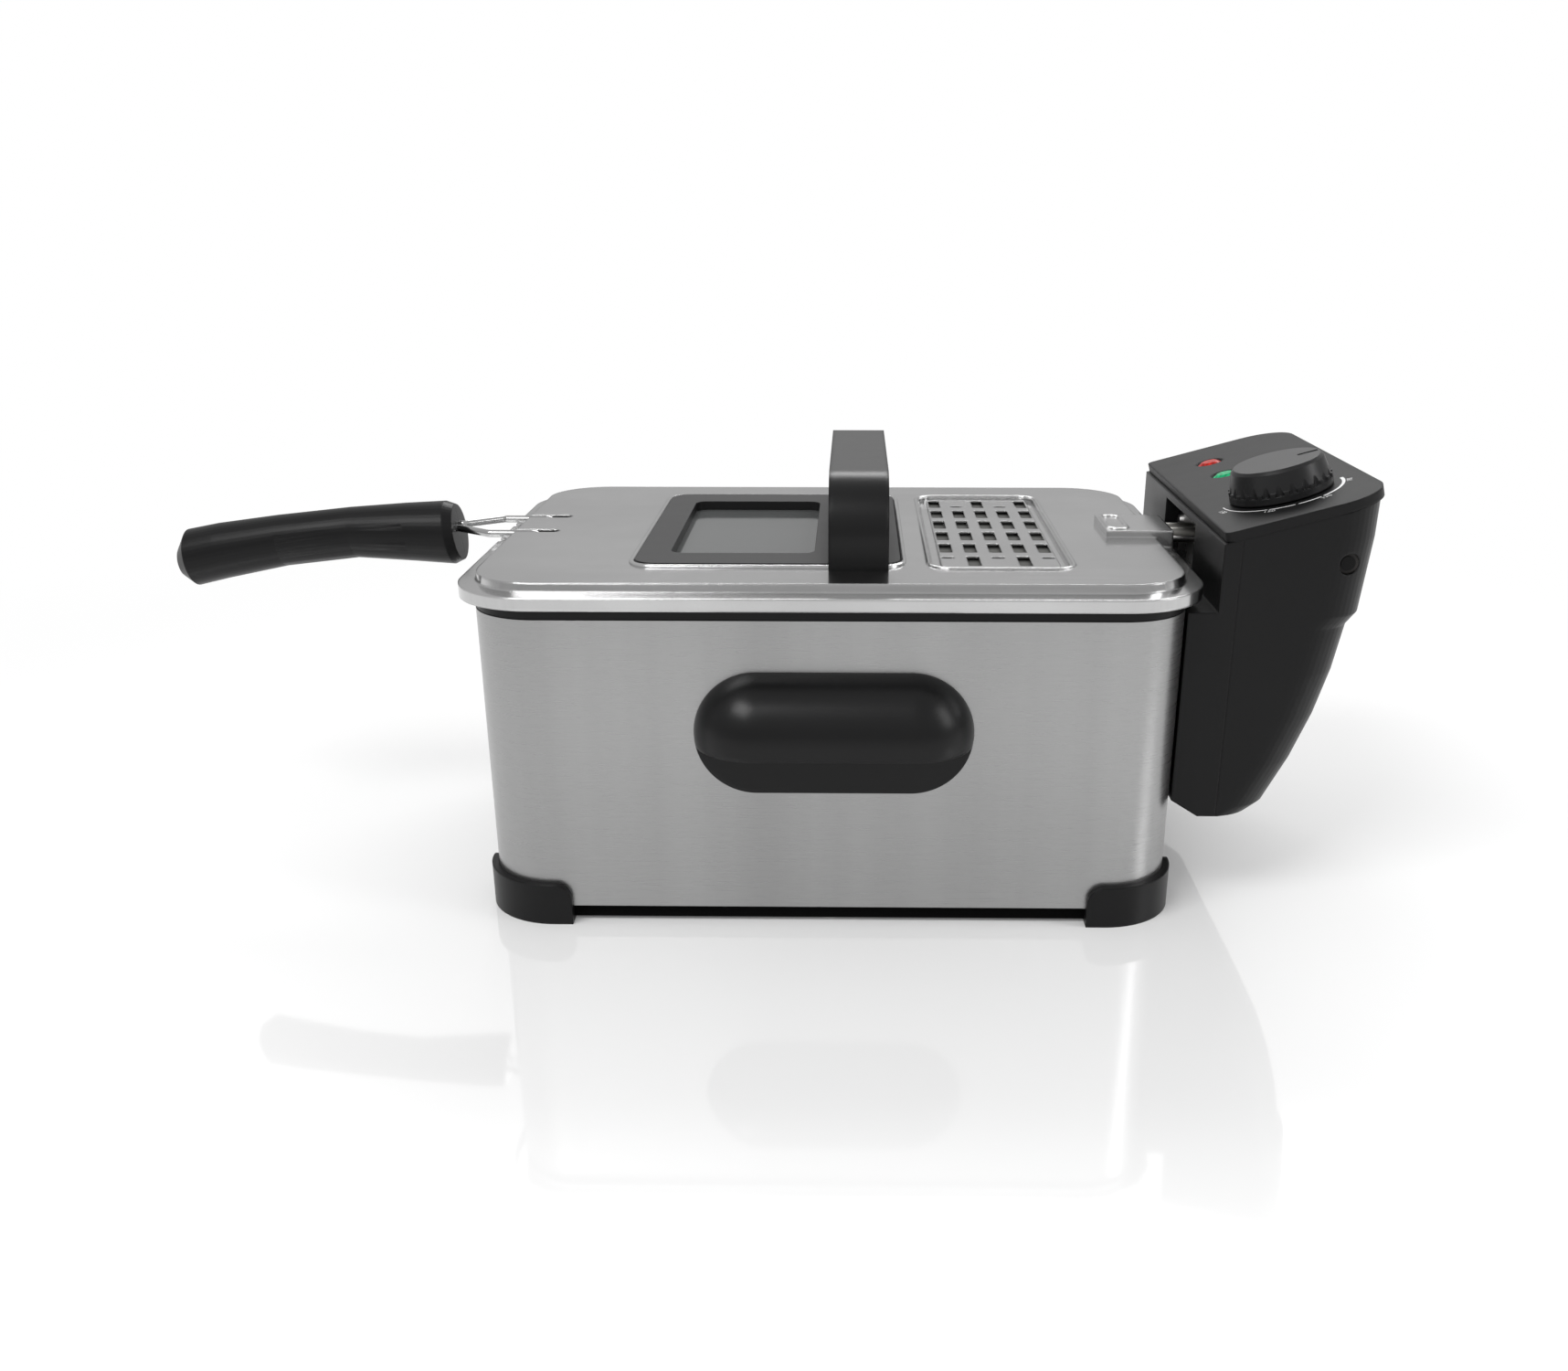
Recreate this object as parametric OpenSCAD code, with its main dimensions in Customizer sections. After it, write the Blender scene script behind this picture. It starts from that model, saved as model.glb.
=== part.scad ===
// Immersion deep fryer: steel casing, lift-out oil tank, control head with heating
// element, wire basket with folding handle, and lift-off lid with window and vent.
// X runs along the long side towards the control head, Y towards the back, Z up.
// Origin: centre of the casing's footprint, on the surface it stands on.

/* [Casing] */
// Outside width of the steel casing
casing_w = 280; // [240:1:320]
// Outside depth of the steel casing
casing_d = 206; // [190:1:240]
// Height of the casing's lower edge above the floor
casing_z = 7.2; // [6:0.1:10]
// Height of the casing wall
casing_h = 120.2; // [110:0.1:140]
// Outside radius of the casing's upright corners
corner_r = 27.5; // [24:0.5:32]
// Thickness of the pressed steel sheet
sheet_t = 0.8; // [0.6:0.1:1.2]
// Width of the flange turned in at the casing's lower edge
casing_flange = 12; // [10:1:16]
// Height of the black ring between casing and tank
rim_h = 4.1; // [3:0.1:6]
// Width of that ring
rim_w = 8.2; // [6:0.1:8.2]

/* [Base and feet] */
// Distance from the casing's outline in to the base tray
base_inset = 3; // [2:0.5:5]
// Height of the base tray's underside
base_z = 3; // [2.6:0.1:4]
// Thickness of the base tray
base_t = 2.2; // [1.6:0.1:2.8]
// Length of a foot along each side, from the casing's corner
foot_leg = 35; // [32:1:45]
// Height of a foot
foot_h = 17.5; // [14:0.5:22]
// Distance that a foot stands out from the casing
foot_t = 3; // [2:0.25:4]
// Radius of the rubber pad in a foot
pad_r = 6.5; // [5:0.5:8]
// Thickness of a rubber pad
pad_t = 2; // [1.5:0.1:2.4]

/* [Carry handles] */
// Length of a carry handle
carry_l = 110; // [95:1:125]
// Height of a carry handle
carry_h = 49.6; // [44:0.5:54]
// Height of its centre line above the floor
carry_z = 82.5; // [70:0.5:88]
// Sideways place of both carry handles
carry_x = 2; // [-5:0.5:5]
// Depth of a handle's axis inside the casing wall
carry_sink = 2.8; // [2:0.1:4]
// Distance from the centre line down to the finger opening
carry_lip = 4.5; // [2:0.5:8]
// Wall of the moulded handle
carry_t = 2.6; // [2:0.1:3.5]

/* [Oil tank] */
// Distance from the casing's outline in to the tank wall
tank_inset = 8.5; // [7:0.5:9]
// Height of the tank's floor, underside
tank_z = 22; // [16:0.5:30]
// Radius of the rolled bead on the tank's rim
bead_r = 2.3; // [1.8:0.1:2.5]
// Radius between the tank's wall and its floor
tank_fillet = 9; // [6:0.5:9.5]

/* [Heating element] */
// Diameter of the element's tube
tube_d = 6.5; // [5.5:0.1:7.5]
// Bend radius of the element, at its centre line
tube_bend = 8; // [7:0.5:9]
// Half the distance between its two legs
leg_y = 5; // [4:0.5:6]
// Place of the legs along X
leg_x = 118; // [114:0.5:119]
// Reach of the loops to the left
loop_left = 98; // [80:1:104]
// Reach of the loops to the right
loop_right = 98; // [85:1:99]
// Half the width of the outer loop
loop_out = 58; // [50:1:68]
// Half the width of the inner loop
loop_in = 25; // [20:1:32]

/* [Basket] */
// Length of the basket
basket_l = 214; // [180:1:220]
// Width of the basket
basket_w = 156; // [130:1:168]
// Height of the basket
basket_h = 82; // [60:1:86]
// Spacing of the basket's mesh
mesh_pitch = 13; // [10:0.5:18]
// Width of a mesh wire
mesh_wire = 1.6; // [1.2:0.1:2.2]
// Diameter of the frame wire
frame_d = 4; // [3:0.25:5]

/* [Basket handle] */
// Diameter of the handle's wire
wire_d = 3.2; // [2.5:0.1:4]
// Half the distance between the two wires
wire_y = 16; // [12:0.5:20]
// Place of the handle across the basket
handle_y = 10; // [0:0.5:14]
// Length of the grip
grip_l = 127.5; // [110:0.5:145]
// Height of the grip at its front end
grip_h = 28; // [24:0.5:32]
// Droop of the grip towards its tip, in degrees
grip_droop = 6.5; // [0:0.5:10]

/* [Lid] */
// Distance that the lid stands out past the casing
lid_over = 6; // [5:0.25:8]
// Thickness of the lid's sheet
lid_t = 0.7; // [0.5:0.1:1]
// Height of the step from the lid's flange up to its top
lid_step = 4.2; // [3:0.1:6]
// Depth of the lid's skirt below its flange
lid_skirt = 5; // [4:0.1:7]
// Length of the window frame along X
window_l = 106; // [90:1:110]
// Depth of the window frame along Y
window_w = 148; // [130:1:150]
// Place of the window frame's centre along X
window_x = -25; // [-30:0.5:-20]
// Place of the lid handle along X
strap_x = 11.3; // [8:0.5:14]
// Width of the lid handle
strap_w = 23.6; // [18:0.2:28]
// Thickness of the lid handle
strap_t = 6; // [5:0.5:8]
// Height of the lid handle above the lid's top
strap_h = 34.6; // [30:0.2:50]
// Half the distance between the lid handle's outer faces
strap_y = 78; // [70:0.5:84]
// Outer radius of the lid handle's two bends
strap_bend = 24; // [15:0.5:30]

/* [Vent] */
// Size of the vent along X
vent_l = 56; // [45:1:60]
// Size of the vent along Y
vent_w = 152; // [130:1:156]
// Place of the vent's centre along X
vent_x = 68; // [66:0.5:74]
// Length of a vent slot
slot_l = 17; // [12:0.5:18]
// Width of a vent slot
slot_w = 5.2; // [3:0.2:6]

/* [Control head] */
// Width of the head along Y
head_w = 166; // [150:1:180]
// Reach of the head's outer top edge along X
head_x = 215; // [200:1:230]
// Height of the panel's inner edge
panel_z = 157; // [150:0.5:165]
// Slope of the panel, in degrees
panel_tilt = 15; // [8:0.5:20]
// Thickness of the panel
panel_t = 4; // [3:0.25:5]
// Height of the head's lower edge
head_z = 40; // [34:0.5:55]
// Wall of the moulded head
head_t = 2.4; // [2:0.1:3]
// Radius of the head's outer upright corners
head_r = 20; // [14:0.5:26]

/* [Controls] */
// Radius of the thermostat knob
knob_r = 20.5; // [16:0.5:24]
// Height of the thermostat knob
knob_h = 13.5; // [11:0.5:18]
// Number of grips round the knob
knob_flutes = 24; // [12:1:36]
// Radius of the thermostat's shaft
shaft_r = 3; // [2.5:0.25:4]
// Radius of a signal lamp's lens
lamp_r = 5.2; // [4:0.2:6]
// Diameter of the supply cord that the gland takes
cord_d = 7; // [5:0.5:9]

/* [Clearances] */
// Gap between pieces that lift apart
lift_gap = 0.3; // [0.2:0.05:0.5]
// Radial gap of a turning fit
run_gap = 0.05; // [0.03:0.01:0.08]
// Radial gap round a screw's shank
screw_gap = 0.2; // [0.1:0.05:0.3]
// Radius of a small screw's shank
screw_r = 1.6; // [1.3:0.1:2]
// Radius of a small screw's head
screw_head_r = 3; // [2.6:0.1:3.5]
// Height of a small screw's head
screw_head_h = 1.8; // [1.2:0.1:2.2]

/* [Hidden] */
$fn = 64;
eps = 0.01;

casing_top = casing_z + casing_h;
rim_top = casing_top + rim_h;
half_w = casing_w / 2;
half_d = casing_d / 2;

bead_in = bead_r;
bead_z = rim_top + lift_gap + bead_r;
bead_top = bead_z + bead_r;
tank_floor = tank_z + sheet_t;
tank_inner = tank_inset + sheet_t;

lid_z = bead_top + lift_gap;
flange_z = lid_z + lid_t;
top_z = flange_z + lid_step;
plateau_inset = 0.8;
skirt_z = flange_z - lid_skirt;

// ---------- General shapes ----------

function unit(v) = v / norm(v);
function turn_at(a, b, c) = acos(unit(b - a) * unit(c - b));
function setback(a, b, c, bend) = bend * tan(turn_at(a, b, c) / 2);

// Outline of a rectangle with round corners
module round_rect(w, d, r) {
    square([w - 2 * r, d], center = true);
    square([w, d - 2 * r], center = true);
    for (x = [-1, 1], y = [-1, 1])
        translate([x * (w / 2 - r), y * (d / 2 - r)]) circle(r);
}

// Upright plate with round corners, from z0 to z1
module plate(w, d, r, z0, z1) {
    translate([0, 0, z0]) linear_extrude(z1 - z0) round_rect(w, d, r);
}

// Upright wall inside a rounded outline, t thick
module wall(w, d, r, t, z0, z1) {
    translate([0, 0, z0]) linear_extrude(z1 - z0) difference() {
        round_rect(w, d, r);
        round_rect(w - 2 * t, d - 2 * t, r - t);
    }
}

// Sweeps a section round a rounded rectangle. In the section, x = 0 is the outline,
// x runs outwards and y is the height
module ring_sweep(w, d, r) {
    for (k = [0, 180]) rotate(k) {
        translate([w / 2 - r, d / 2 - r, 0]) rotate_extrude(angle = 90) translate([r, 0]) children();
        translate([r - w / 2, d / 2 - r, 0]) rotate(90)
            rotate_extrude(angle = 90) translate([r, 0]) children();
        translate([r - w / 2, d / 2, 0]) rotate([90, 0, 90]) linear_extrude(w - 2 * r) children();
        translate([w / 2, d / 2 - r, 0]) rotate([90, 0, 0]) linear_extrude(d - 2 * r) children();
    }
}

// Round rod from a to b
module rod(a, b, r) {
    v = b - a;
    translate(a) rotate([0, acos(v.z / norm(v)), atan2(v.y, v.x)]) cylinder(r = r, h = norm(v));
}

// Quarter or part turn of a rod at b, between the directions a-b and b-c
module elbow(a, b, c, r, bend) {
    u = unit(b - a);
    v = unit(c - b);
    side = unit(v - (u * v) * u);
    n = cross(u, side);
    hub = b - u * setback(a, b, c, bend) + side * bend;
    multmatrix([[-side.x, u.x, n.x, hub.x], [-side.y, u.y, n.y, hub.y], [-side.z, u.z, n.z, hub.z]])
        rotate_extrude(angle = turn_at(a, b, c)) translate([bend, 0]) circle(r);
}

// Rod through the points p, bent at each inner point
module bent_rod(p, r, bend) {
    last = len(p) - 1;
    for (i = [0 : last - 1]) {
        u = unit(p[i + 1] - p[i]);
        start = i == 0 ? 0 : setback(p[i - 1], p[i], p[i + 1], bend);
        end = i == last - 1 ? 0 : setback(p[i], p[i + 1], p[i + 2], bend);
        rod(p[i] + u * start, p[i + 1] - u * end, r);
    }
    for (i = [1 : last - 1]) elbow(p[i - 1], p[i], p[i + 1], r, bend);
}

// Closed loop of wire with round corners, in the plane z
module wire_loop(w, d, r, wire_r, z) {
    translate([0, 0, z]) ring_sweep(w, d, r) circle(wire_r);
}

// Pan-head screw: head on the plane z = 0, shank down
module pan_screw(shank_r, head_r, head_h, shank_l) {
    cylinder(r1 = head_r, r2 = head_r * 0.7, h = head_h);
    translate([0, 0, -shank_l]) cylinder(r = shank_r, h = shank_l);
}

// ---------- Casing, base and feet ----------

steel = [0.66, 0.66, 0.67];
black = [0.13, 0.13, 0.14];
base_screw_in = 6;
carry_r = carry_h / 2;
carry_plate = 2.2;
carry_screw_x = 33;
carry_screw_z = carry_z + 11;
carry_boss_l = 9;
rail_y = 45;
rail_neck = 6;
rail_flange = 14;
rail_reach = 5;
rail_z0 = 60;
rail_z1 = 118;
rivet_r = 1.6;

module base_screw_places() {
    for (k = [-1, 1]) {
        translate([0, k * (half_d - base_screw_in), 0]) children();
        translate([k * (half_w - base_screw_in), 0, 0]) children();
    }
}

// Places of the carry handle's screws, on the casing's front, with +Z pointing inwards
module carry_screw_places() {
    for (k = [-1, 1])
        translate([carry_x + k * carry_screw_x, sheet_t - half_d, carry_screw_z])
            rotate([-90, 0, 0]) children();
}

// Places of the guide rivets, on the casing's right wall, with +Z pointing outwards
module rivet_places() {
    for (y = [-rail_y, rail_y], z = [rail_z0 + 10, rail_z1 - 10])
        translate([half_w, y, z]) rotate([0, 90, 0]) children();
}

module casing() {
    color(steel) difference() {
        union() {
            wall(casing_w, casing_d, corner_r, sheet_t, casing_z, casing_top);
            wall(casing_w, casing_d, corner_r, casing_flange, casing_z, casing_z + sheet_t);
        }
        base_screw_places() cylinder(r = screw_r + screw_gap, h = 3 * casing_z);
        for (k = [0, 1]) mirror([0, k, 0]) carry_screw_places()
            translate([0, 0, -2 * sheet_t]) cylinder(r = screw_r + screw_gap, h = 3 * sheet_t);
        rivet_places() translate([0, 0, -2 * sheet_t]) cylinder(r = rivet_r + run_gap, h = 3 * sheet_t);
    }
}

module rim_ring() {
    tongue_h = 8;
    tongue_t = 2;
    inset = 0.3;
    color(black) ring_sweep(casing_w, casing_d, corner_r) polygon([
        [-sheet_t - tongue_t, casing_top - tongue_h], [-sheet_t, casing_top - tongue_h],
        [-sheet_t, casing_top], [-inset, casing_top], [-inset, rim_top],
        [-rim_w, rim_top], [-rim_w, casing_top], [-sheet_t - tongue_t, casing_top]]);
}

// Tray that closes the casing below, with air slots under the tank
module base_plate() {
    w = casing_w - 2 * base_inset;
    d = casing_d - 2 * base_inset;
    r = corner_r - base_inset;
    rib_t = 2;
    color(black) difference() {
        union() {
            plate(w, d, r, base_z, base_z + base_t);
            wall(w, d, r, rib_t, base_z, casing_z);
            base_screw_places() translate([0, 0, base_z]) cylinder(r = 2.5 * screw_r, h = casing_z - base_z);
            for (x = [-60, 60]) translate([x - rib_t / 2, 1 - d / 2, base_z])
                cube([rib_t, d - 2, casing_z - base_z]);
        }
        base_screw_places() cylinder(r = screw_r + screw_gap, h = 3 * casing_z);
        for (x = [-45 : 10 : 45], y = [-1, 1]) translate([x, 38 * y, base_z - 1])
            linear_extrude(base_t + 2) round_rect(4, 44, 1.9);
    }
}

module base_screws() {
    color(steel) base_screw_places() translate([0, 0, base_z]) mirror([0, 0, 1])
        pan_screw(screw_r, screw_head_r, screw_head_h, casing_z + 2 * sheet_t - base_z);
}

// Foot at the casing's rear right corner, in the drawing's own direction
module foot() {
    reach_x = half_w + foot_t;
    reach_y = half_d + foot_t;
    pad_in = 18;
    end_r = 7;
    color(black) difference() {
        intersection() {
            plate(2 * reach_x, 2 * reach_y, corner_r + foot_t, 0, foot_h);
            translate([0, 2 * half_d, 0]) rotate([90, 0, 0]) linear_extrude(2 * casing_d)
                translate([half_w - foot_leg, 0]) foot_outline(foot_leg + 2 * foot_t, end_r);
            rotate([90, 0, 90]) linear_extrude(casing_w)
                translate([half_d - foot_leg, 0]) foot_outline(foot_leg + 2 * foot_t, end_r);
        }
        plate(casing_w, casing_d, corner_r, casing_z, foot_h + 1);
        plate(casing_w - 2 * base_inset, casing_d - 2 * base_inset, corner_r - base_inset,
            base_z, casing_z + 1);
        translate([half_w - pad_in, half_d - pad_in, -1]) cylinder(r = pad_r + run_gap, h = pad_t + 1);
    }
}

// Upright outline of a foot's arm, its upper end rounded towards x = 0
module foot_outline(w, r) {
    translate([r, 0]) square([w - r, foot_h]);
    square([w, foot_h - r]);
    translate([r, foot_h - r]) circle(r);
}

module foot_front_left() { mirror([1, 0, 0]) mirror([0, 1, 0]) foot(); }
module foot_front_right() { mirror([0, 1, 0]) foot(); }
module foot_rear_left() { mirror([1, 0, 0]) foot(); }
module foot_rear_right() { foot(); }

module foot_pads() {
    pad_in = 18;
    color([0.2, 0.2, 0.2]) for (x = [-1, 1], y = [-1, 1])
        translate([x * (half_w - pad_in), y * (half_d - pad_in), 0]) cylinder(r = pad_r, h = pad_t);
}

// ---------- Carry handles ----------

// Lying capsule that the cup handle is cut from
module carry_capsule(r) {
    translate([carry_x, carry_sink - half_d, carry_z]) {
        rotate([0, 90, 0]) cylinder(r = r, h = carry_l - carry_h, center = true);
        for (k = [-1, 1]) translate([k * (carry_l - carry_h) / 2, 0, 0]) sphere(r);
    }
}

module carry_handle() {
    difference() {
        union() {
            difference() {
                carry_capsule(carry_r);
                difference() {
                    union() {
                        carry_capsule(carry_r - carry_t);
                        translate([carry_x - carry_l, -2 * half_d, carry_z - carry_lip - carry_h])
                            cube([2 * carry_l, 2 * half_d, carry_h]);
                    }
                    translate([carry_x - carry_l, -half_d - carry_plate, 0])
                        cube([2 * carry_l, half_d, 2 * carry_z]);
                }
            }
            carry_screw_places() translate([0, 0, -sheet_t - carry_boss_l]) cylinder(r = 4, h = carry_boss_l);
        }
        translate([carry_x - carry_l, -half_d, 0]) cube([2 * carry_l, half_d, 2 * carry_z]);
        carry_screw_places() translate([0, 0, -sheet_t - carry_boss_l + 1.5])
            cylinder(r = screw_r + run_gap, h = carry_boss_l);
    }
}

module carry_handle_front() { color(black) carry_handle(); }
module carry_handle_rear() { color(black) mirror([0, 1, 0]) carry_handle(); }

module carry_handle_screws() {
    color(steel) for (k = [0, 1]) mirror([0, k, 0]) carry_screw_places()
        pan_screw(screw_r, screw_head_r, screw_head_h, sheet_t + carry_boss_l - 2);
}

// ---------- Guide for the control head ----------

// Two upright T rails on the casing's right wall
module head_guide() {
    neck_l = rail_reach - 2;
    color(steel) difference() {
        for (y = [-rail_y, rail_y]) translate([half_w, y, rail_z0]) {
            translate([0, -rail_neck / 2, 0]) cube([neck_l, rail_neck, rail_z1 - rail_z0]);
            translate([neck_l, -rail_flange / 2, 0]) cube([2, rail_flange, rail_z1 - rail_z0]);
        }
        rivet_places() translate([0, 0, -1]) cylinder(r = rivet_r + run_gap, h = rail_reach + 2);
    }
}

module guide_rivets() {
    color(steel) rivet_places() {
        translate([0, 0, -sheet_t]) cylinder(r = rivet_r, h = sheet_t + rail_reach);
        translate([0, 0, -sheet_t - 1]) cylinder(r = 1.9 * rivet_r, h = 1);
    }
}

// ---------- Oil tank ----------

module oil_tank() {
    mark_l = 34;
    color([0.7, 0.7, 0.71]) {
        ring_sweep(casing_w, casing_d, corner_r) {
            translate([-bead_in, bead_z]) circle(bead_r);
            translate([-tank_inner, bead_z - sheet_t / 2]) square([tank_inner - bead_in, sheet_t]);
            translate([-tank_inner, tank_z + tank_fillet])
                square([sheet_t, bead_z - tank_z - tank_fillet]);
            intersection() {
                translate([-tank_inset - tank_fillet, tank_z]) square(tank_fillet);
                translate([-tank_inset - tank_fillet, tank_z + tank_fillet]) difference() {
                    circle(tank_fillet);
                    circle(tank_fillet - sheet_t);
                }
            }
        }
        plate(casing_w - 2 * (tank_inset + tank_fillet), casing_d - 2 * (tank_inset + tank_fillet),
            corner_r - tank_inset - tank_fillet, tank_z, tank_floor);
        for (z = [70, 96]) translate([-mark_l / 2, half_d - tank_inner - 0.5, z])
            cube([mark_l, 0.5 + sheet_t / 2, 1.2]);
    }
}

// ---------- Heating element and sensors ----------

tube_r = tube_d / 2;
neck_z = bead_top + 0.75 + tube_r;
element_z = tank_floor + 5.5 + tube_r;
head_gap_x = half_w + lift_gap;
head_neck_x = half_w + 12;
head_split_x = half_w + 19;
chassis_t = 1.2;
tube_end_x = head_split_x + 13;
link_x = leg_x - 18;
bulb_r = 2.75;
bulb_y = 12.5;
capillary_r = 1;
guard_x = leg_x - tube_r - 0.1;
clip_heights = [50, 82, 112];

module heating_element() {
    half = [[tube_end_x, leg_y, neck_z], [leg_x, leg_y, neck_z], [leg_x, leg_y, element_z],
        [link_x, leg_y, element_z]];
    other = [[link_x, -leg_y, element_z], [leg_x, -leg_y, element_z], [leg_x, -leg_y, neck_z],
        [tube_end_x, -leg_y, neck_z]];
    loops = [[link_x, loop_out, element_z], [-loop_left, loop_out, element_z],
        [-loop_left, loop_in, element_z], [loop_right - 24, loop_in, element_z],
        [loop_right - 24, -loop_in, element_z], [-loop_left, -loop_in, element_z],
        [-loop_left, -loop_out, element_z], [link_x, -loop_out, element_z]];
    color([0.55, 0.55, 0.56]) {
        bent_rod(concat(half, loops, other), tube_r, tube_bend);
        for (y = [-leg_y, leg_y]) translate([tube_end_x, y, neck_z]) rotate([0, 90, 0])
            cylinder(r = 1.5, h = 6);
    }
}

// Two cross strips under the loops, each with its feet on the tank floor
module element_support() {
    strip_w = 10;
    strip_t = 1;
    strip_z = element_z - tube_r - strip_t;
    foot_z = tank_floor + lift_gap;
    reach = loop_out + 8;
    color([0.6, 0.6, 0.61]) for (x = [-60, 40]) translate([x, 0, 0]) {
        translate([0, -reach, strip_z]) cube([strip_w, 2 * reach, strip_t]);
        for (y = [-1, 1]) {
            translate([0, y * (reach - 6) - 6, foot_z]) cube([strip_w, 12, strip_t]);
            translate([0, y * reach - (y + 1) / 2 * strip_t, foot_z])
                cube([strip_w, strip_t, strip_z + strip_t - foot_z]);
        }
    }
}

// Upright shield between the element's legs and the basket
module element_guard() {
    guard_w = 52;
    z0 = element_z + tube_r + 4.5;
    z1 = bead_z - 12;
    color(steel) difference() {
        translate([guard_x - 1, -guard_w / 2, z0]) cube([1, guard_w, z1 - z0]);
        for (z = [z0 + 8 : 12 : z1 - 8], y = [-1, 1]) translate([guard_x - 3, 14 * y, z])
            rotate([0, 90, 0]) cylinder(r = 3.2, h = 5);
    }
}

// Plates that hold the legs and the two bulbs on the shield
module tube_clips() {
    reach = tube_r + 2.5;
    color(steel) difference() {
        for (z = clip_heights) translate([guard_x, -bulb_y - 6, z])
            cube([leg_x - guard_x + reach, 2 * bulb_y + 12, 1.2]);
        for (y = [-leg_y, leg_y]) translate([leg_x, y, 0]) cylinder(r = tube_r + run_gap, h = casing_top);
        for (y = [-bulb_y, bulb_y]) translate([leg_x, y, 0]) cylinder(r = bulb_r + run_gap, h = casing_top);
    }
}

// Sensing bulb beside the legs, with its capillary up and into the head
module sensor_bulb(y, z0) {
    z1 = clip_heights[2] + 6;
    translate([leg_x, y, z0]) cylinder(r = bulb_r, h = z1 - z0);
    bent_rod([[leg_x, y, z1 - 1], [leg_x, y, neck_z], [tube_end_x, y, neck_z]], capillary_r, 6);
}

module thermostat_bulb() { color([0.72, 0.6, 0.45]) sensor_bulb(bulb_y, clip_heights[0] - 8); }
module cutout_bulb() { color([0.7, 0.7, 0.7]) sensor_bulb(-bulb_y, clip_heights[0] - 8); }

// ---------- Control head ----------

head_step_z = casing_top - 1.4;
recess_y = 31;
recess_z = 150;
chamfer = 7;
kink_z = 119;
kink_x = head_x - 7.5;
ledge_z = kink_z + 5;
ledge_x = head_x - 3.5;
belly_x = head_x - 35;
belly_r = 205;
belly_span = norm([kink_x - belly_x, kink_z - head_z]);
belly_drop = sqrt(belly_r * belly_r - belly_span * belly_span / 4);
belly_cx = (kink_x + belly_x) / 2 - belly_drop * (kink_z - head_z) / belly_span;
belly_cz = (kink_z + head_z) / 2 + belly_drop * (kink_x - belly_x) / belly_span;
head_screw_y = head_w / 2 - 13;
head_screw_zs = [head_z + 20, kink_z - 9];
reset_x = head_x - 14;
reset_z = 145;
reset_r = 2.8;
collar_r = 4.1;
gland_x = head_split_x + 9;
gland_z = 84;
gland_r = 5.6;
knob_s = 32;
knob_y = -42;
lamp_s = 22.8;
lamp_ys = [18, 49];
lamp_flange_r = lamp_r + 1.4;
bushing_r = 5;
bushing_h = 3;
switch_z = 92;
plunger_r = 1.5;

function panel_at(x) = panel_z + (x - head_neck_x) * tan(panel_tilt);
function under_panel(x) = panel_at(x) - panel_t / cos(panel_tilt);
function belly_at(z) = belly_cx + sqrt(belly_r * belly_r - (z - belly_cz) * (z - belly_cz));

// Puts its children in the panel's own frame: x up the slope, z out of the panel
module on_panel() {
    translate([head_neck_x, 0, panel_z]) rotate([0, -panel_tilt, 0]) children();
}

// Places of the screws that hold the two halves of the head, with +Z pointing inwards
module head_screw_places(x) {
    for (y = [-head_screw_y, head_screw_y], z = head_screw_zs)
        translate([x, y, z]) rotate([0, -90, 0]) children();
}

// Everything above the underside of the panel
module above_panel() {
    on_panel() translate([-60, -head_w, -panel_t]) cube([240, 2 * head_w, 90]);
}

// Cross-section of the inner half of the head, t inside its skin
module inner_side(t) {
    over = t > 0 ? 1 : 0;
    polygon([
        [head_gap_x + 1.6 * chamfer, head_z + t], [head_split_x + over, head_z + t],
        [head_split_x + over, panel_at(head_split_x) + 4], [head_neck_x + t, panel_at(head_neck_x) + 4],
        [head_neck_x + t, head_step_z - t], [head_gap_x + t, head_step_z - t],
        [head_gap_x + t, head_z + chamfer + t / 2]]);
}

module inner_body(t) {
    translate([0, head_w / 2 - t, 0]) rotate([90, 0, 0]) linear_extrude(head_w - 2 * t) inner_side(t);
}

// Slots that slide over the T rails, open at their lower ends
module rail_slots() {
    wide = rail_flange + 2 * lift_gap;
    narrow = rail_neck + 2 * lift_gap;
    for (y = [-rail_y, rail_y]) translate([0, y, 0]) {
        translate([half_w, -narrow / 2, 0]) cube([head_t + 1, narrow, rail_z1 + lift_gap]);
        translate([half_w + head_t + lift_gap, -wide / 2, 0]) cube([3, wide, rail_z1 + lift_gap]);
    }
}

// Half of the head that faces the casing
module head_shell_inner() {
    post_r = 4.4;
    rim = 2.4;
    sink = 8;
    color(black) difference() {
        union() {
            difference() {
                inner_body(0);
                inner_body(head_t);
            }
            intersection() {
                translate([head_neck_x, -recess_y - rim, head_step_z - rim])
                    cube([head_split_x - head_neck_x, 2 * (recess_y + rim), recess_z - head_step_z + 2 * rim]);
                inner_body(0);
            }
            head_screw_places(head_split_x) cylinder(r = post_r, h = head_split_x - head_gap_x);
        }
        above_panel();
        translate([head_neck_x - 5, -recess_y, head_step_z]) cube([20, 2 * recess_y, recess_z - head_step_z]);
        rail_slots();
        head_screw_places(head_split_x + 1) cylinder(r = screw_r + screw_gap, h = 40);
        head_screw_places(head_gap_x + sink) cylinder(r = screw_head_r + 0.4, h = 2 * sink);
        translate([half_w - 5, 0, switch_z]) rotate([0, 90, 0]) cylinder(r = plunger_r + run_gap, h = 30);
    }
}

// One level of the outer half: its flat side at the split, its outer corners round
module head_level(x, z, t) {
    r = head_r - t;
    translate([head_split_x - (t > 0 ? 1 : 0), t - head_w / 2, z]) cube([1, head_w - 2 * t, eps]);
    for (y = [-1, 1]) translate([x - head_r, y * (head_w / 2 - head_r), z])
        cylinder(r = r, h = eps, $fn = 48);
}

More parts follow.
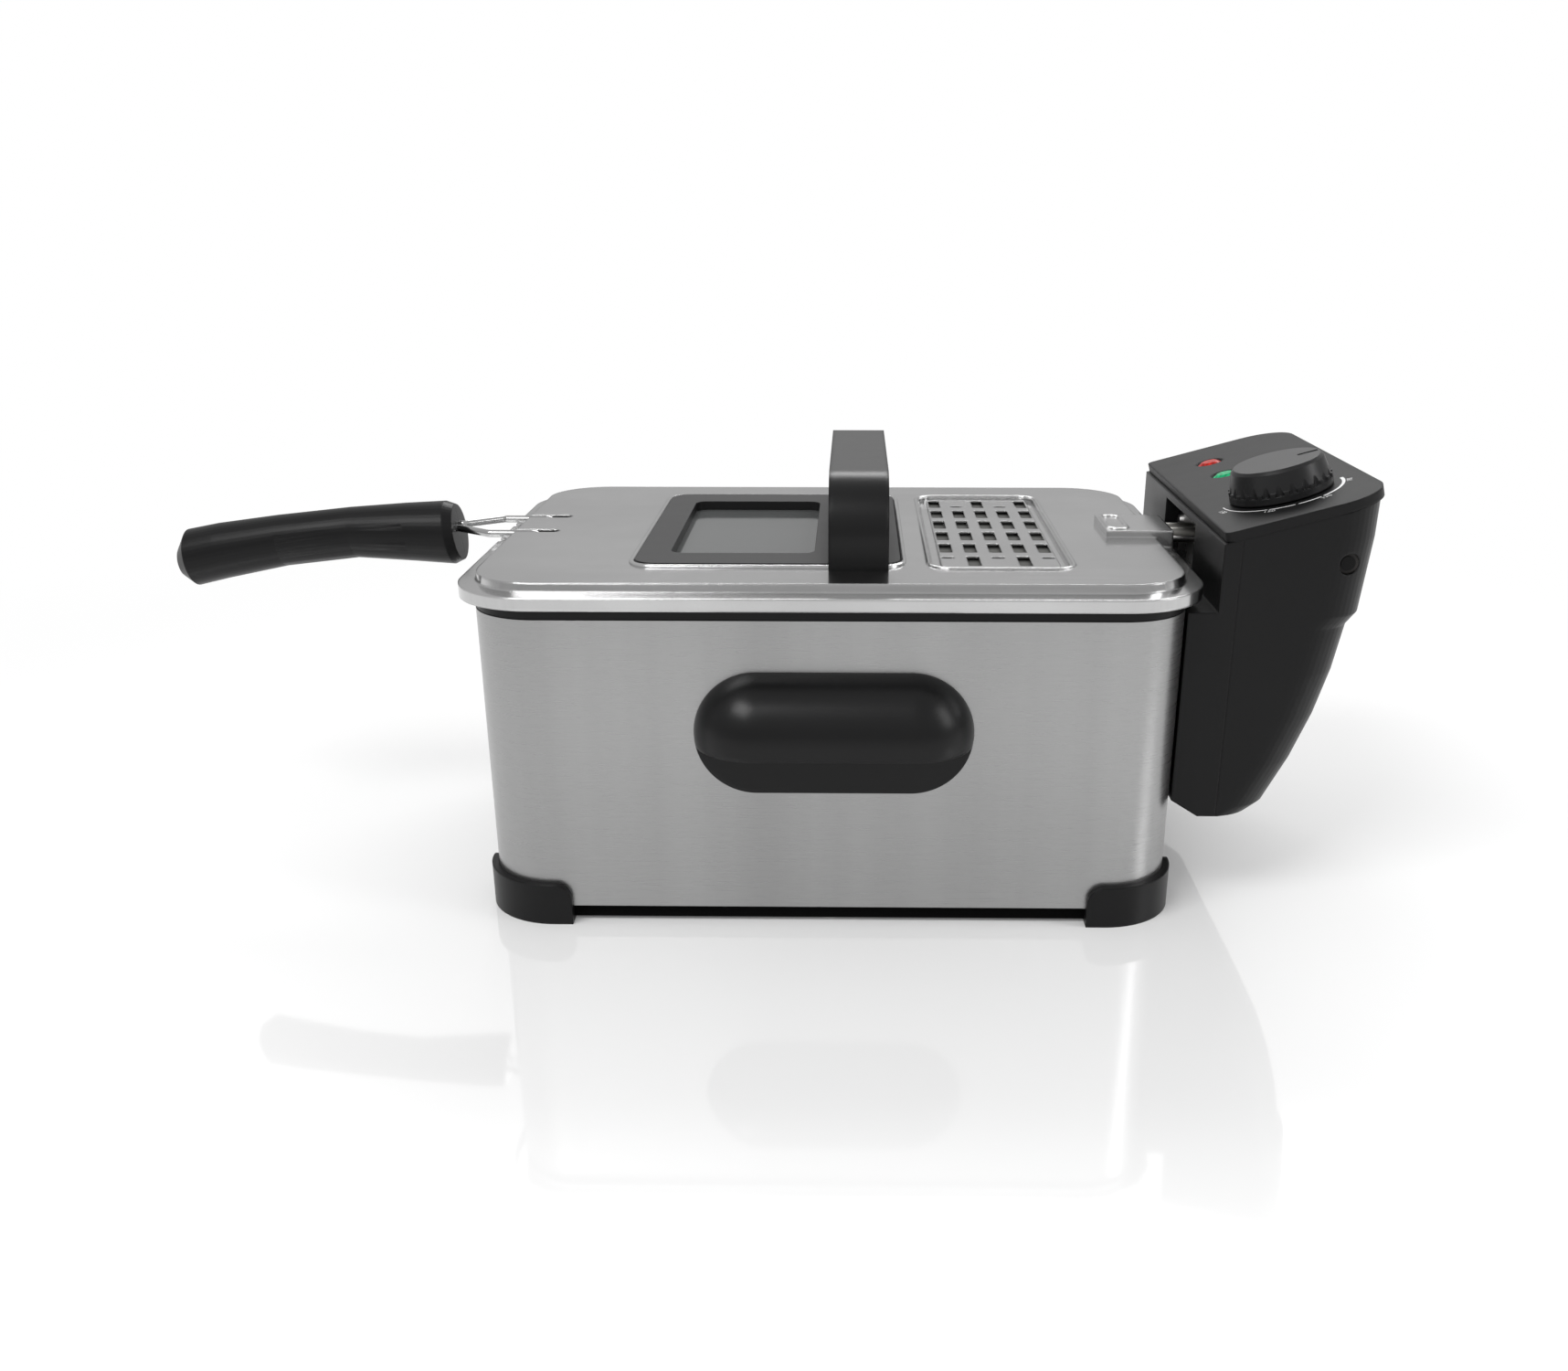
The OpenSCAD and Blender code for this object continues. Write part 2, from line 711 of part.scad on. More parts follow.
module outer_body(t) {
    soft = 3;
    hull() {
        head_level(belly_x - soft, head_z + t, t);
        for (k = [0.05, 0.28, 0.52, 0.76]) {
            z = head_z + k * (kink_z - head_z);
            head_level(belly_at(z), max(z, head_z + t + eps), t);
        }
        head_level(kink_x, kink_z, t);
    }
    hull() {
        head_level(kink_x, kink_z, t);
        head_level(ledge_x, ledge_z, t);
        head_level(head_x - 0.5, panel_z - 3, t);
        head_level(head_x, panel_at(head_x) + 6, t);
    }
}

// Outer half of the head, with the kinked and bellied face
module head_shell_outer() {
    post_r = 4.4;
    post_l = 13;
    post_x = head_split_x + chassis_t;
    color(black) difference() {
        union() {
            difference() {
                outer_body(0);
                outer_body(head_t);
            }
            for (k = [-1, 1], z = head_screw_zs) {
                translate([post_x, k * head_screw_y, z]) rotate([0, 90, 0]) cylinder(r = post_r, h = post_l);
                translate([post_x, k * (head_screw_y + 6) - 5.5, z - 1]) cube([post_l - 1, 11, 2]);
            }
        }
        above_panel();
        translate([head_split_x - 2 * head_r, -head_w, 0]) cube([2 * head_r, 2 * head_w, 2 * panel_z]);
        head_screw_places(post_x + post_l - 2) cylinder(r = screw_r + run_gap, h = post_l);
        translate([reset_x, 0, reset_z]) rotate([90, 0, 0]) cylinder(r = collar_r + 0.15, h = head_w);
        translate([gland_x, 0, gland_z]) rotate([-90, 0, 0]) cylinder(r = gland_r + run_gap, h = head_w);
    }
}

// Sloping top panel with its holes for the knob and the two lamps
module head_panel() {
    slope_l = (head_x - head_neck_x) / cos(panel_tilt);
    inner_r = 3;
    color([0.17, 0.17, 0.18]) on_panel() difference() {
        translate([0, 0, -panel_t]) linear_extrude(panel_t) {
            translate([inner_r, -head_w / 2]) square([slope_l - inner_r - head_r, head_w]);
            translate([0, inner_r - head_w / 2]) square([inner_r, head_w - 2 * inner_r]);
            translate([slope_l - head_r, head_r - head_w / 2]) square([head_r, head_w - 2 * head_r]);
            for (k = [-1, 1]) {
                translate([inner_r, k * (head_w / 2 - inner_r)]) circle(inner_r);
                translate([slope_l - head_r, k * (head_w / 2 - head_r)]) circle(head_r);
            }
        }
        translate([knob_s, knob_y, -2 * panel_t]) cylinder(r = bushing_r + run_gap, h = 3 * panel_t);
        for (y = lamp_ys) translate([lamp_s, y, 0]) {
            translate([0, 0, -2 * panel_t]) cylinder(r = lamp_r + run_gap, h = 3 * panel_t);
            translate([0, 0, -1.2]) cylinder(r1 = lamp_r + run_gap, r2 = lamp_r + 1.2, h = 1.2 + eps);
        }
    }
}

module head_screws() {
    color(steel) head_screw_places(head_gap_x + 8) pan_screw(screw_r, screw_head_r, screw_head_h, 22);
}

// Steel plate between the two halves, seen through the neck recess
module head_chassis() {
    edge = 4;
    z0 = head_z + 6;
    neck_screw_y = 26;
    color(steel) difference() {
        translate([head_split_x, edge - head_w / 2, z0])
            cube([chassis_t, head_w - 2 * edge, under_panel(head_split_x) - 2 - z0]);
        head_screw_places(head_split_x + 2 * chassis_t) cylinder(r = screw_r + screw_gap, h = 4 * chassis_t);
        translate([head_split_x - 1, 0, neck_z]) rotate([0, 90, 0]) {
            for (y = [-leg_y, leg_y]) translate([0, y, 0]) cylinder(r = tube_r + run_gap, h = 5);
            for (y = [-bulb_y, bulb_y]) translate([0, y, 0]) cylinder(r = capillary_r + run_gap, h = 5);
            for (y = [-neck_screw_y, neck_screw_y]) translate([0, y, 0])
                cylinder(r = screw_r + run_gap, h = 5);
        }
        translate([head_split_x - 1, 0, switch_z]) rotate([0, 90, 0])
            cylinder(r = plunger_r + run_gap, h = 5);
    }
}

module neck_screws() {
    neck_screw_y = 26;
    color([0.8, 0.8, 0.8]) for (y = [-neck_screw_y, neck_screw_y])
        translate([head_split_x, y, neck_z]) rotate([0, -90, 0])
            pan_screw(screw_r, 1.2 * screw_head_r, screw_head_h, 6);
}

// ---------- Controls in the head ----------

thermostat_s = 34;
thermostat_d = 22;

module thermostat() {
    color([0.75, 0.74, 0.7]) on_panel() translate([knob_s, knob_y, 0]) difference() {
        union() {
            translate([-thermostat_s / 2, -thermostat_s / 2, -panel_t - thermostat_d])
                cube([thermostat_s, thermostat_s, thermostat_d]);
            translate([0, 0, -panel_t - 1]) cylinder(r = bushing_r, h = panel_t + 1 + bushing_h);
        }
        translate([0, 0, -panel_t - 14]) cylinder(r = shaft_r + run_gap, h = 30);
    }
}

module thermostat_shaft() {
    color(steel) on_panel() translate([knob_s, knob_y, 0])
        translate([0, 0, -panel_t - 13.5]) cylinder(r = shaft_r, h = knob_h - 3 + panel_t + 13.5);
}

// Knob with a fluted skirt and a waisted crown
module control_knob() {
    base = 0.8;
    skirt_h = 5;
    hollow_h = bushing_h + 1.4;
    crown_r = knob_r - 2.2;
    color(black) on_panel() translate([knob_s, knob_y, 0]) difference() {
        union() {
            translate([0, 0, base]) cylinder(r = knob_r, h = skirt_h - base);
            translate([0, 0, skirt_h]) cylinder(r1 = knob_r - 0.6, r2 = crown_r, h = knob_h - skirt_h - 1.2);
            translate([0, 0, knob_h - 1.2]) cylinder(r1 = crown_r, r2 = crown_r - 1.2, h = 1.2);
        }
        for (k = [0 : knob_flutes - 1]) rotate(k * 360 / knob_flutes)
            translate([knob_r + 0.7, 0, skirt_h - 1.5]) cylinder(r = 1.9, h = knob_h);
        translate([0, 0, -1]) cylinder(r = knob_r - 3, h = 1 + hollow_h);
        translate([0, 0, -1]) cylinder(r = shaft_r + 0.02, h = knob_h - 2);
        translate([knob_r - 12, -0.8, knob_h - 0.6]) cube([8, 1.6, 2]);
    }
}

module knob_pointer() {
    color("white") on_panel() translate([knob_s, knob_y, 0])
        translate([knob_r - 12, -0.8, knob_h - 0.6]) cube([8, 1.6, 0.7]);
}

module lamp_lens(y) {
    on_panel() translate([lamp_s, y, 0]) {
        translate([0, 0, -panel_t - 1]) cylinder(r = lamp_r, h = panel_t + 0.2);
        translate([0, 0, -0.8]) cylinder(r1 = lamp_r, r2 = lamp_r - 1.8, h = 1.2);
        translate([0, 0, -panel_t - 2]) cylinder(r = lamp_flange_r, h = 2);
    }
}

module lamp_red() { color([0.75, 0.1, 0.08]) lamp_lens(lamp_ys[1]); }
module lamp_green() { color([0.05, 0.6, 0.35]) lamp_lens(lamp_ys[0]); }

module lamp_holders() {
    color([0.85, 0.85, 0.82]) on_panel() for (y = lamp_ys)
        translate([lamp_s, y, -panel_t - 18]) cylinder(r = lamp_flange_r - 1, h = 16);
}

// Safety cut-out behind the reset hole
module thermal_cutout() {
    body_y = 10 - head_w / 2;
    collar_y = 3.7 - head_w / 2;
    color([0.3, 0.2, 0.15]) translate([reset_x, 0, reset_z]) rotate([-90, 0, 0]) difference() {
        union() {
            translate([0, 0, body_y]) cylinder(r = 6.5, h = 11);
            translate([0, 0, collar_y]) cylinder(r = collar_r, h = body_y - collar_y + 1);
        }
        translate([0, 0, collar_y - 1]) cylinder(r = reset_r + run_gap, h = 14);
    }
}

// Push-button of the safety cut-out: it travels towards +Y
module reset_button() {
    color([0.8, 0.1, 0.1]) translate([reset_x, 3.2 - head_w / 2, reset_z]) rotate([-90, 0, 0])
        cylinder(r = reset_r, h = 10.5);
}

// Interlock switch and its plunger, pressed while the head hangs on the casing
module seat_switch() {
    back_x = head_split_x + chassis_t;
    color([0.25, 0.25, 0.27]) difference() {
        translate([back_x, -10, switch_z - 8]) cube([8, 20, 16]);
        translate([back_x - 1, 0, switch_z]) rotate([0, 90, 0]) cylinder(r = plunger_r + run_gap, h = 5);
    }
}

module switch_plunger() {
    color("white") translate([head_gap_x + 0.2, 0, switch_z]) rotate([0, 90, 0])
        cylinder(r = plunger_r, h = head_split_x + chassis_t + 3 - head_gap_x);
}

module terminal_block() {
    ways = 3;
    pitch = 8;
    color([0.9, 0.88, 0.8]) translate([head_split_x + chassis_t, 34, 66]) difference() {
        cube([10, ways * pitch, 14]);
        for (k = [0 : ways - 1]) translate([5, (k + 0.5) * pitch, -1]) cylinder(r = 2.2, h = 16);
    }
}

// Rubber gland in the head's rear face, where a supply cord leaves
module cord_gland() {
    bore_r = cord_d / 2 + 0.1;
    face = head_w / 2;
    color([0.2, 0.2, 0.2]) translate([gland_x, 0, gland_z]) rotate([-90, 0, 0]) difference() {
        union() {
            translate([0, 0, face - head_t - 2]) cylinder(r = gland_r, h = head_t + 4);
            translate([0, 0, face]) cylinder(r1 = gland_r + 1.4, r2 = gland_r, h = 5);
            translate([0, 0, face - head_t - 2]) cylinder(r = gland_r + 1.2, h = 2);
        }
        translate([0, 0, face - 10]) cylinder(r = bore_r, h = 20);
    }
}

// ---------- Basket ----------

basket_x = loop_right + 3 - basket_l / 2;
basket_z0 = element_z + tube_r + lift_gap;
basket_top = basket_z0 + basket_h;
basket_r = 16;
basket_left = basket_x - basket_l / 2;
skin = 0.8;

function box_points(x, y, w, h) = [[x - w / 2, y - h / 2], [x + w / 2, y - h / 2],
    [x + w / 2, y + h / 2], [x - w / 2, y + h / 2]];

// Flat net in the X-Y plane: a rectangle w x h with square openings
module net(w, h) {
    nx = max(1, floor((w - mesh_wire) / mesh_pitch));
    ny = max(1, floor((h - mesh_wire) / mesh_pitch));
    px = (w - mesh_wire) / nx;
    py = (h - mesh_wire) / ny;
    openings = [for (i = [0 : nx - 1], j = [0 : ny - 1])
        box_points((i + 0.5 - nx / 2) * px, (j + 0.5 - ny / 2) * py, px - mesh_wire, py - mesh_wire)];
    polygon([for (box = concat([box_points(0, 0, w, h)], openings)) each box],
        [for (k = [0 : nx * ny]) [4 * k, 4 * k + 1, 4 * k + 2, 4 * k + 3]]);
}

// Net walls: four flat nets, with plain round corner strips between them
module basket_mesh() {
    side_h = basket_h - 2;
    joint = run_gap / (basket_r - skin) * 180 / PI;
    color([0.75, 0.75, 0.76]) translate([basket_x, 0, basket_z0]) for (k = [-1, 1]) {
        translate([0, k * (basket_w / 2) + (1 - k) / 2 * skin, side_h / 2]) rotate([90, 0, 0])
            linear_extrude(skin) net(basket_l - 2 * basket_r, side_h);
        translate([k * basket_l / 2 - (1 + k) / 2 * skin, 0, side_h / 2]) rotate([90, 0, 90])
            linear_extrude(skin) net(basket_w - 2 * basket_r, side_h);
        for (m = [-1, 1])
            translate([k * (basket_l / 2 - basket_r), m * (basket_w / 2 - basket_r), 0])
                rotate((k > 0 ? (m > 0 ? 0 : 270) : (m > 0 ? 90 : 180)) + joint)
                    rotate_extrude(angle = 90 - 2 * joint) translate([basket_r - skin, 0])
                        square([skin, side_h]);
    }
}

// Net floor set inside the walls, with a plain border
module basket_floor() {
    inset = 2 * (skin + run_gap);
    color([0.75, 0.75, 0.76]) translate([basket_x, 0, basket_z0 + 2]) linear_extrude(skin) {
        net(basket_l - 2 * basket_r, basket_w - 2 * basket_r);
        difference() {
            round_rect(basket_l - inset, basket_w - inset, basket_r - inset / 2);
            square([basket_l - 2 * basket_r, basket_w - 2 * basket_r], center = true);
        }
    }
}

module basket_rim() {
    grow = frame_d / 2 + skin / 4;
    color([0.8, 0.8, 0.81]) translate([basket_x, 0, 0])
        wire_loop(basket_l + 2 * grow, basket_w + 2 * grow, basket_r + grow, frame_d / 2,
            basket_top - frame_d / 2);
}

// Frame wires round the basket's foot and up its sides
module basket_base_frame() {
    wire_r = frame_d / 2 - 0.5;
    grow = wire_r + skin / 4;
    z0 = basket_z0 + wire_r + 2;
    z1 = basket_top - frame_d - 0.1;
    color([0.8, 0.8, 0.81]) translate([basket_x, 0, 0]) {
        wire_loop(basket_l + 2 * grow, basket_w + 2 * grow, basket_r + grow, wire_r, z0);
        for (x = [-60, 60], k = [-1, 1])
            rod([x, k * (basket_w / 2 + grow), z0], [x, k * (basket_w / 2 + grow), z1], wire_r);
    }
}

// ---------- Basket handle ----------

pivot_x = tank_inner - half_w + 3.5;
pivot_z = rim_top - 0.5;
wire_r = wire_d / 2;
wire_z = bead_top + 2.2 + wire_r;
wire_bend = 4;
pin_y = wire_y - 7;
ear_r = 3.2;
ear_t = 2.2;
ear_gap = 0.4;
bracket_t = 1.4;
bracket_x = basket_left - frame_d - skin / 4 - bracket_t - 0.1;
grip_x = -half_w - 27.3;
grip_z = 137.7;
grip_wire_y = 4.5;
grip_wire_l = 32;
slot_end_x = pivot_x + 8;

// Plate behind the basket's rim with two ears for the handle's pins
module handle_bracket() {
    low_z = basket_top - 24;
    top_z1 = pivot_z - 4;
    color(steel) difference() {
        translate([0, handle_y, 0]) {
            translate([bracket_x, -pin_y - ear_gap - ear_t, low_z])
                cube([bracket_t, 2 * (pin_y + ear_gap + ear_t), basket_top - low_z]);
            for (k = [-1, 1]) translate([0, k * (pin_y + ear_gap + ear_t / 2) + ear_t / 2, 0])
                rotate([90, 0, 0]) linear_extrude(ear_t) {
                    translate([pivot_x, pivot_z]) circle(ear_r);
                    polygon([[bracket_x, basket_top - 18], [bracket_x + bracket_t, basket_top - 18],
                        [bracket_x + bracket_t, top_z1], [pivot_x + 2.2, pivot_z + 2.32],
                        [pivot_x - 3, pivot_z - 1.1]]);
                }
        }
        translate([pivot_x, handle_y, pivot_z]) rotate([90, 0, 0])
            cylinder(r = wire_r + run_gap, h = 4 * wire_y, center = true);
    }
}

// Hook that hangs the basket on the tank's rim to drain
module drain_hook() {
    hook_r = 1.5;
    back_x = bracket_x - hook_r - 0.1;
    top_z1 = basket_top - 30;
    color(steel) translate([0, handle_y, 0]) {
        for (y = [-7, 7]) bent_rod([[back_x, y, basket_top - 2], [back_x, y, top_z1],
            [back_x - 6.6, y, top_z1], [back_x - 6.6, y, top_z1 - 12]], hook_r, 3);
    }
}

// Two chromed wires, each with its inner end turned in as a pivot pin. They part at a
// slope of 3 to 4 in front of the grip
module handle_wires() {
    spread_x = grip_x + 1.5;
    color([0.85, 0.85, 0.86]) for (k = [-1, 1]) bent_rod([
        [grip_x - grip_wire_l, handle_y + k * grip_wire_y, wire_z],
        [spread_x, handle_y + k * grip_wire_y, wire_z],
        [spread_x + (wire_y - grip_wire_y) * 4 / 3, handle_y + k * wire_y, wire_z],
        [pivot_x, handle_y + k * wire_y, wire_z], [pivot_x, handle_y + k * wire_y, pivot_z],
        [pivot_x, handle_y + k * pin_y, pivot_z]], wire_r, wire_bend);
}

// Stations along the grip: distance from its front, height of the centre, radius
grip_stations = [[0, 0, 0.44], [4, 0.2, 0.5], [22, 2.4, 0.46], [47, 5, 0.4], [80, 5, 0.405],
    [grip_l - 19.5, 3.4, 0.44], [grip_l - 5.5, 2, 0.45], [grip_l, 0.6, 0.24]];

// Places of the grip's two screws along it, their height there and their length
grip_screw_xs = [50, grip_l - 15.5];
grip_screw_z = 4;
grip_screw_l = 9.5;

module grip_station(k) {
    s = grip_stations[k];
    translate([s.x, 0, s.y]) rotate([0, 90, 0]) cylinder(r = s.z * grip_h, h = eps, $fn = 48);
}

// Solid of the whole grip, lying along x in its own frame
module grip_body() {
    for (k = [0 : len(grip_stations) - 2]) hull() {
        grip_station(k);
        grip_station(k + 1);
    }
}

module on_grip() {
    translate([grip_x, handle_y, grip_z]) rotate([0, 0, 180]) rotate([0, grip_droop, 0]) children();
}

// One half of the grip; side is 1 for the front half and -1 for the rear one
module grip_half(side) {
    difference() {
        on_grip() intersection() {
            grip_body();
            translate([-1, side > 0 ? 0 : -grip_h, -grip_h]) cube([grip_l + 10, grip_h, 2 * grip_h]);
        }
        for (k = [-1, 1]) translate([grip_x - grip_wire_l, handle_y + k * grip_wire_y, wire_z])
            rotate([0, 90, 0]) cylinder(r = wire_r + run_gap, h = grip_wire_l + 5);
        on_grip() for (x = grip_screw_xs) translate([x, -grip_h, grip_screw_z]) rotate([-90, 0, 0])
            cylinder(r = screw_r + run_gap, h = grip_h + (side > 0 ? 5 : 0));
        on_grip() for (x = grip_screw_xs) translate([x, -grip_h - 5, grip_screw_z]) rotate([-90, 0, 0])
            cylinder(r = screw_head_r + 0.3, h = grip_h);
    }
}

module grip_front() { color(black) grip_half(1); }
module grip_rear() { color(black) grip_half(-1); }

module grip_screws() {
    color(steel) on_grip() for (x = grip_screw_xs) translate([x, -5, grip_screw_z]) rotate([90, 0, 0])
        pan_screw(screw_r, screw_head_r, screw_head_h, grip_screw_l);
}

// ---------- Lid ----------

pane_l = 58.5;
pane_w = 111;
pane_x = -35.8;
frame_up = 1.4;
pane_drop = 2.6;
pane_t = 2.5;
gasket_t = 1;
frame_seat = 5;
frame_z0 = top_z - pane_drop - pane_t - gasket_t;
tunnel_y = 17.3;
tunnel_x = leg_x + 0.2;
tunnel_top = neck_z + tube_r + 0.25;
vent_groove = 5;
vent_depth = 2.4;
vent_rise = 0.6;
vent_cols = 5;
vent_step_x = 10.2;
vent_step_y = 24;
strap_leg_y = strap_y - strap_t / 2;
strap_screw_l = 12;

module lid_skirt_section() {
    w0 = flange_z;
    w1 = flange_z + 0.7;
    s = -plateau_inset;
    polygon([[lid_over, skirt_z], [lid_over, w0], [s, w1], [s - 0.6, top_z], [-16, top_z],
        [-16, top_z - lid_t], [s - 0.6 - lid_t, top_z - lid_t], [s - lid_t, w1 - lid_t],
        [lid_over - lid_t, w0 - lid_t], [lid_over - lid_t, skirt_z]]);
}

// Sunk vent pan: groove round a raised floor
module vent_pan() {
    z0 = top_z - vent_depth;
    z1 = top_z - vent_rise;
    inner = 2 * vent_groove;
    translate([vent_x, 0, 0]) {
        wall(vent_l, vent_w, 8, lid_t, z0, top_z);
        wall(vent_l, vent_w, 8, vent_groove, z0, z0 + lid_t);
        wall(vent_l - inner + 2 * lid_t, vent_w - inner + 2 * lid_t, 4, lid_t, z0, z1);
        plate(vent_l - inner, vent_w - inner, 3.3, z1 - lid_t, z1);
        wire_loop(vent_l + 1.6, vent_w + 1.6, 8.8, 0.8, top_z);
    }
}

// Staggered slots; the columns end in a short slit where the next slot would start
module vent_slots() {
    first = vent_w / 2 - vent_groove - slot_l / 2 - 2.5;
    for (c = [0 : vent_cols - 1]) {
        flip = c % 2 == 0 ? 1 : -1;
        x = vent_x + (c - (vent_cols - 1) / 2) * vent_step_x;
        for (k = [0 : 4]) translate([x, flip * (first - k * vent_step_y), top_z - 4])
            linear_extrude(6) round_rect(slot_w, slot_l, 1);
        translate([x, flip * (first - 4.75 * vent_step_y), top_z - 4])
            linear_extrude(6) round_rect(slot_w, 3, 1);
    }
}

module lid_screw_places() {
    for (k = [-1, 1]) translate([strap_x, k * strap_leg_y, 0]) children();
}

module lid_pan() {
    wire_slot = wire_d + 2.4;
    edge_x = -half_w - lid_over - 1;
    color([0.72, 0.72, 0.73]) difference() {
        union() {
            ring_sweep(casing_w, casing_d, corner_r) lid_skirt_section();
            difference() {
                plate(casing_w - 32, casing_d - 32, corner_r - 16, top_z - lid_t, top_z);
                translate([vent_x, 0, 0]) plate(vent_l, vent_w, 8, top_z - 2, top_z + 1);
            }
            vent_pan();
            translate([tunnel_x - lid_t, -tunnel_y - lid_t, top_z - lid_t])
                cube([half_w - tunnel_x, 2 * (tunnel_y + lid_t), tunnel_top - top_z + 2 * lid_t]);
            translate([half_w - 2, -tunnel_y - lid_t, flange_z - lid_t])
                cube([lid_over + 2, 2 * (tunnel_y + lid_t), tunnel_top - flange_z + 2 * lid_t]);
            translate([tunnel_x + 5, 0, tunnel_top + lid_t]) wire_loop(8, 2 * tunnel_y - 6, 3.9, 0.8, 0);
        }
        translate([tunnel_x, -tunnel_y, 0]) cube([half_w, 2 * tunnel_y, tunnel_top]);
        translate([window_x, 0, 0]) plate(window_l - 2 * frame_seat, window_w - 2 * frame_seat, 6,
            top_z - 2, top_z + 1);
        vent_slots();
        for (k = [-1, 1]) translate([edge_x, handle_y + k * wire_y - wire_slot / 2, 0]) {
            cube([slot_end_x - edge_x - wire_slot / 2, wire_slot, 2 * top_z]);
            translate([slot_end_x - edge_x - wire_slot / 2, wire_slot / 2, 0])
                cylinder(r = wire_slot / 2, h = 2 * top_z);
        }
        lid_screw_places() translate([0, 0, top_z - 3]) cylinder(r = screw_r + screw_gap, h = 6);
    }
}

module window_frame() {
    leg_gap = 0.2;
    color([0.15, 0.15, 0.16]) difference() {
        translate([window_x, 0, 0]) {
            plate(window_l, window_w, 9, top_z, top_z + frame_up);
            plate(window_l - 2 * frame_seat - 0.6, window_w - 2 * frame_seat - 0.6, 5.7, frame_z0, top_z);
        }
        translate([pane_x, 0, 0]) {
            plate(pane_l, pane_w, 5, frame_z0 - 1, top_z + frame_up + 1);
            plate(pane_l + 8, pane_w + 8, 6, frame_z0 - 1, top_z - pane_drop);
        }
        for (k = [-1, 1]) translate([strap_x - strap_w / 2 - leg_gap,
            k * strap_leg_y - strap_t / 2 - leg_gap, top_z - 1])
            cube([strap_w + 2 * leg_gap, strap_t + 2 * leg_gap, frame_up + 2]);
    }
}

module window_glass() {
    color([0.5, 0.52, 0.52, 0.6]) translate([pane_x, 0, 0])
        plate(pane_l + 7.6, pane_w + 7.6, 5.8, top_z - pane_drop - pane_t, top_z - pane_drop);
}

module window_gasket() {
    color([0.25, 0.25, 0.25]) translate([pane_x, 0, 0])
        wall(pane_l + 7.6, pane_w + 7.6, 5.8, 4, frame_z0, frame_z0 + gasket_t);
}

// Steel ring under the lid that clamps the frame, the glass and its gasket
module window_clamp() {
    ring_t = 0.8;
    color(steel) translate([window_x, 0, 0]) difference() {
        plate(window_l - 6, window_w - 6, 7, frame_z0 - ring_t, frame_z0);
        translate([pane_x - window_x, 0, 0]) plate(pane_l, pane_w, 5, frame_z0 - 2, frame_z0 + 1);
        for (k = [-1, 1]) translate([strap_x - window_x, k * strap_leg_y, frame_z0 - 2])
            cylinder(r = screw_head_r + 1, h = 4);
    }
}

// Arched strap across the lid
module strap_outline(y, h, r) {
    translate([-y, 0]) square([2 * y, h - r]);
    translate([r - y, 0]) square([2 * (y - r), h]);
    intersection() {
        for (k = [-1, 1]) translate([k * (y - r), h - r]) circle(r);
        translate([-y, 0]) square([2 * y, h]);
    }
}

module lid_handle() {
    color(black) difference() {
        translate([strap_x - strap_w / 2, 0, top_z]) rotate([90, 0, 90]) linear_extrude(strap_w)
            difference() {
                strap_outline(strap_y, strap_h, strap_bend);
                translate([0, -1]) strap_outline(strap_y - strap_t, strap_h - strap_t + 1, strap_bend - strap_t);
            }
        lid_screw_places() translate([0, 0, top_z - 1]) cylinder(r = screw_r + run_gap, h = strap_screw_l);
    }
}

module lid_handle_screws() {
    color(steel) lid_screw_places() translate([0, 0, top_z - lid_t]) mirror([0, 0, 1])
        pan_screw(screw_r, screw_head_r, screw_head_h, strap_screw_l - 1);
}

// Folded wire-mesh pad under the vent
module vent_filter() {
    color([0.6, 0.6, 0.58]) translate([vent_x, 0, 0])
        plate(vent_l, vent_w - 6, 6, top_z - vent_depth - 3.9, top_z - vent_depth - 0.1);
}

// Perforated steel tray that carries the filter pad under the lid
module filter_cover() {
    rim = 5;
    tray_z = top_z - vent_depth - 4;
    tray_top = top_z - lid_t - 0.2;
    color(steel) translate([vent_x, 0, 0]) difference() {
        union() {
            wall(vent_l + 2 + 2 * rim, vent_w + 2 + 2 * rim, 8, rim + 0.8, tray_top - 0.8, tray_top);
            wall(vent_l + 3.6, vent_w + 3.6, 8, 0.8, tray_z - 0.8, tray_top);
            plate(vent_l + 3.6, vent_w + 3.6, 8, tray_z - 0.8, tray_z);
        }
        for (x = [-22 : 11 : 22], y = [-60 : 15 : 60]) translate([x, y, tray_z - 2])
            linear_extrude(4) round_rect(7, 9, 1);
    }
}

// ---------- Nodes ----------

casing();
rim_ring();
base_plate();
foot_front_left();
foot_front_right();
foot_rear_left();
foot_rear_right();
foot_pads();
base_screws();
carry_handle_front();
carry_handle_rear();
carry_handle_screws();
head_guide();
guide_rivets();
oil_tank();
heating_element();
element_support();
element_guard();
tube_clips();
thermostat_bulb();
cutout_bulb();
head_chassis();
neck_screws();
head_shell_inner();
head_shell_outer();
head_panel();
head_screws();
thermostat();
lamp_red();
lamp_green();
lamp_holders();
thermal_cutout();
seat_switch();
switch_plunger();
terminal_block();
cord_gland();
thermostat_shaft();
control_knob();
knob_pointer();
reset_button();
basket_mesh();
basket_floor();
basket_rim();
basket_base_frame();
handle_bracket();
drain_hook();
handle_wires();
grip_front();
grip_rear();
grip_screws();
lid_pan();
window_frame();
window_glass();
window_gasket();
window_clamp();
lid_handle();
lid_handle_screws();
vent_filter();
filter_cover();
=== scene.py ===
"""Looks of the deep fryer: materials, dial print, window bead and a band of painted shade under the casing,
with light and camera.
"""

import math

import bmesh
import bpy
from mathutils import Euler, Matrix, Vector


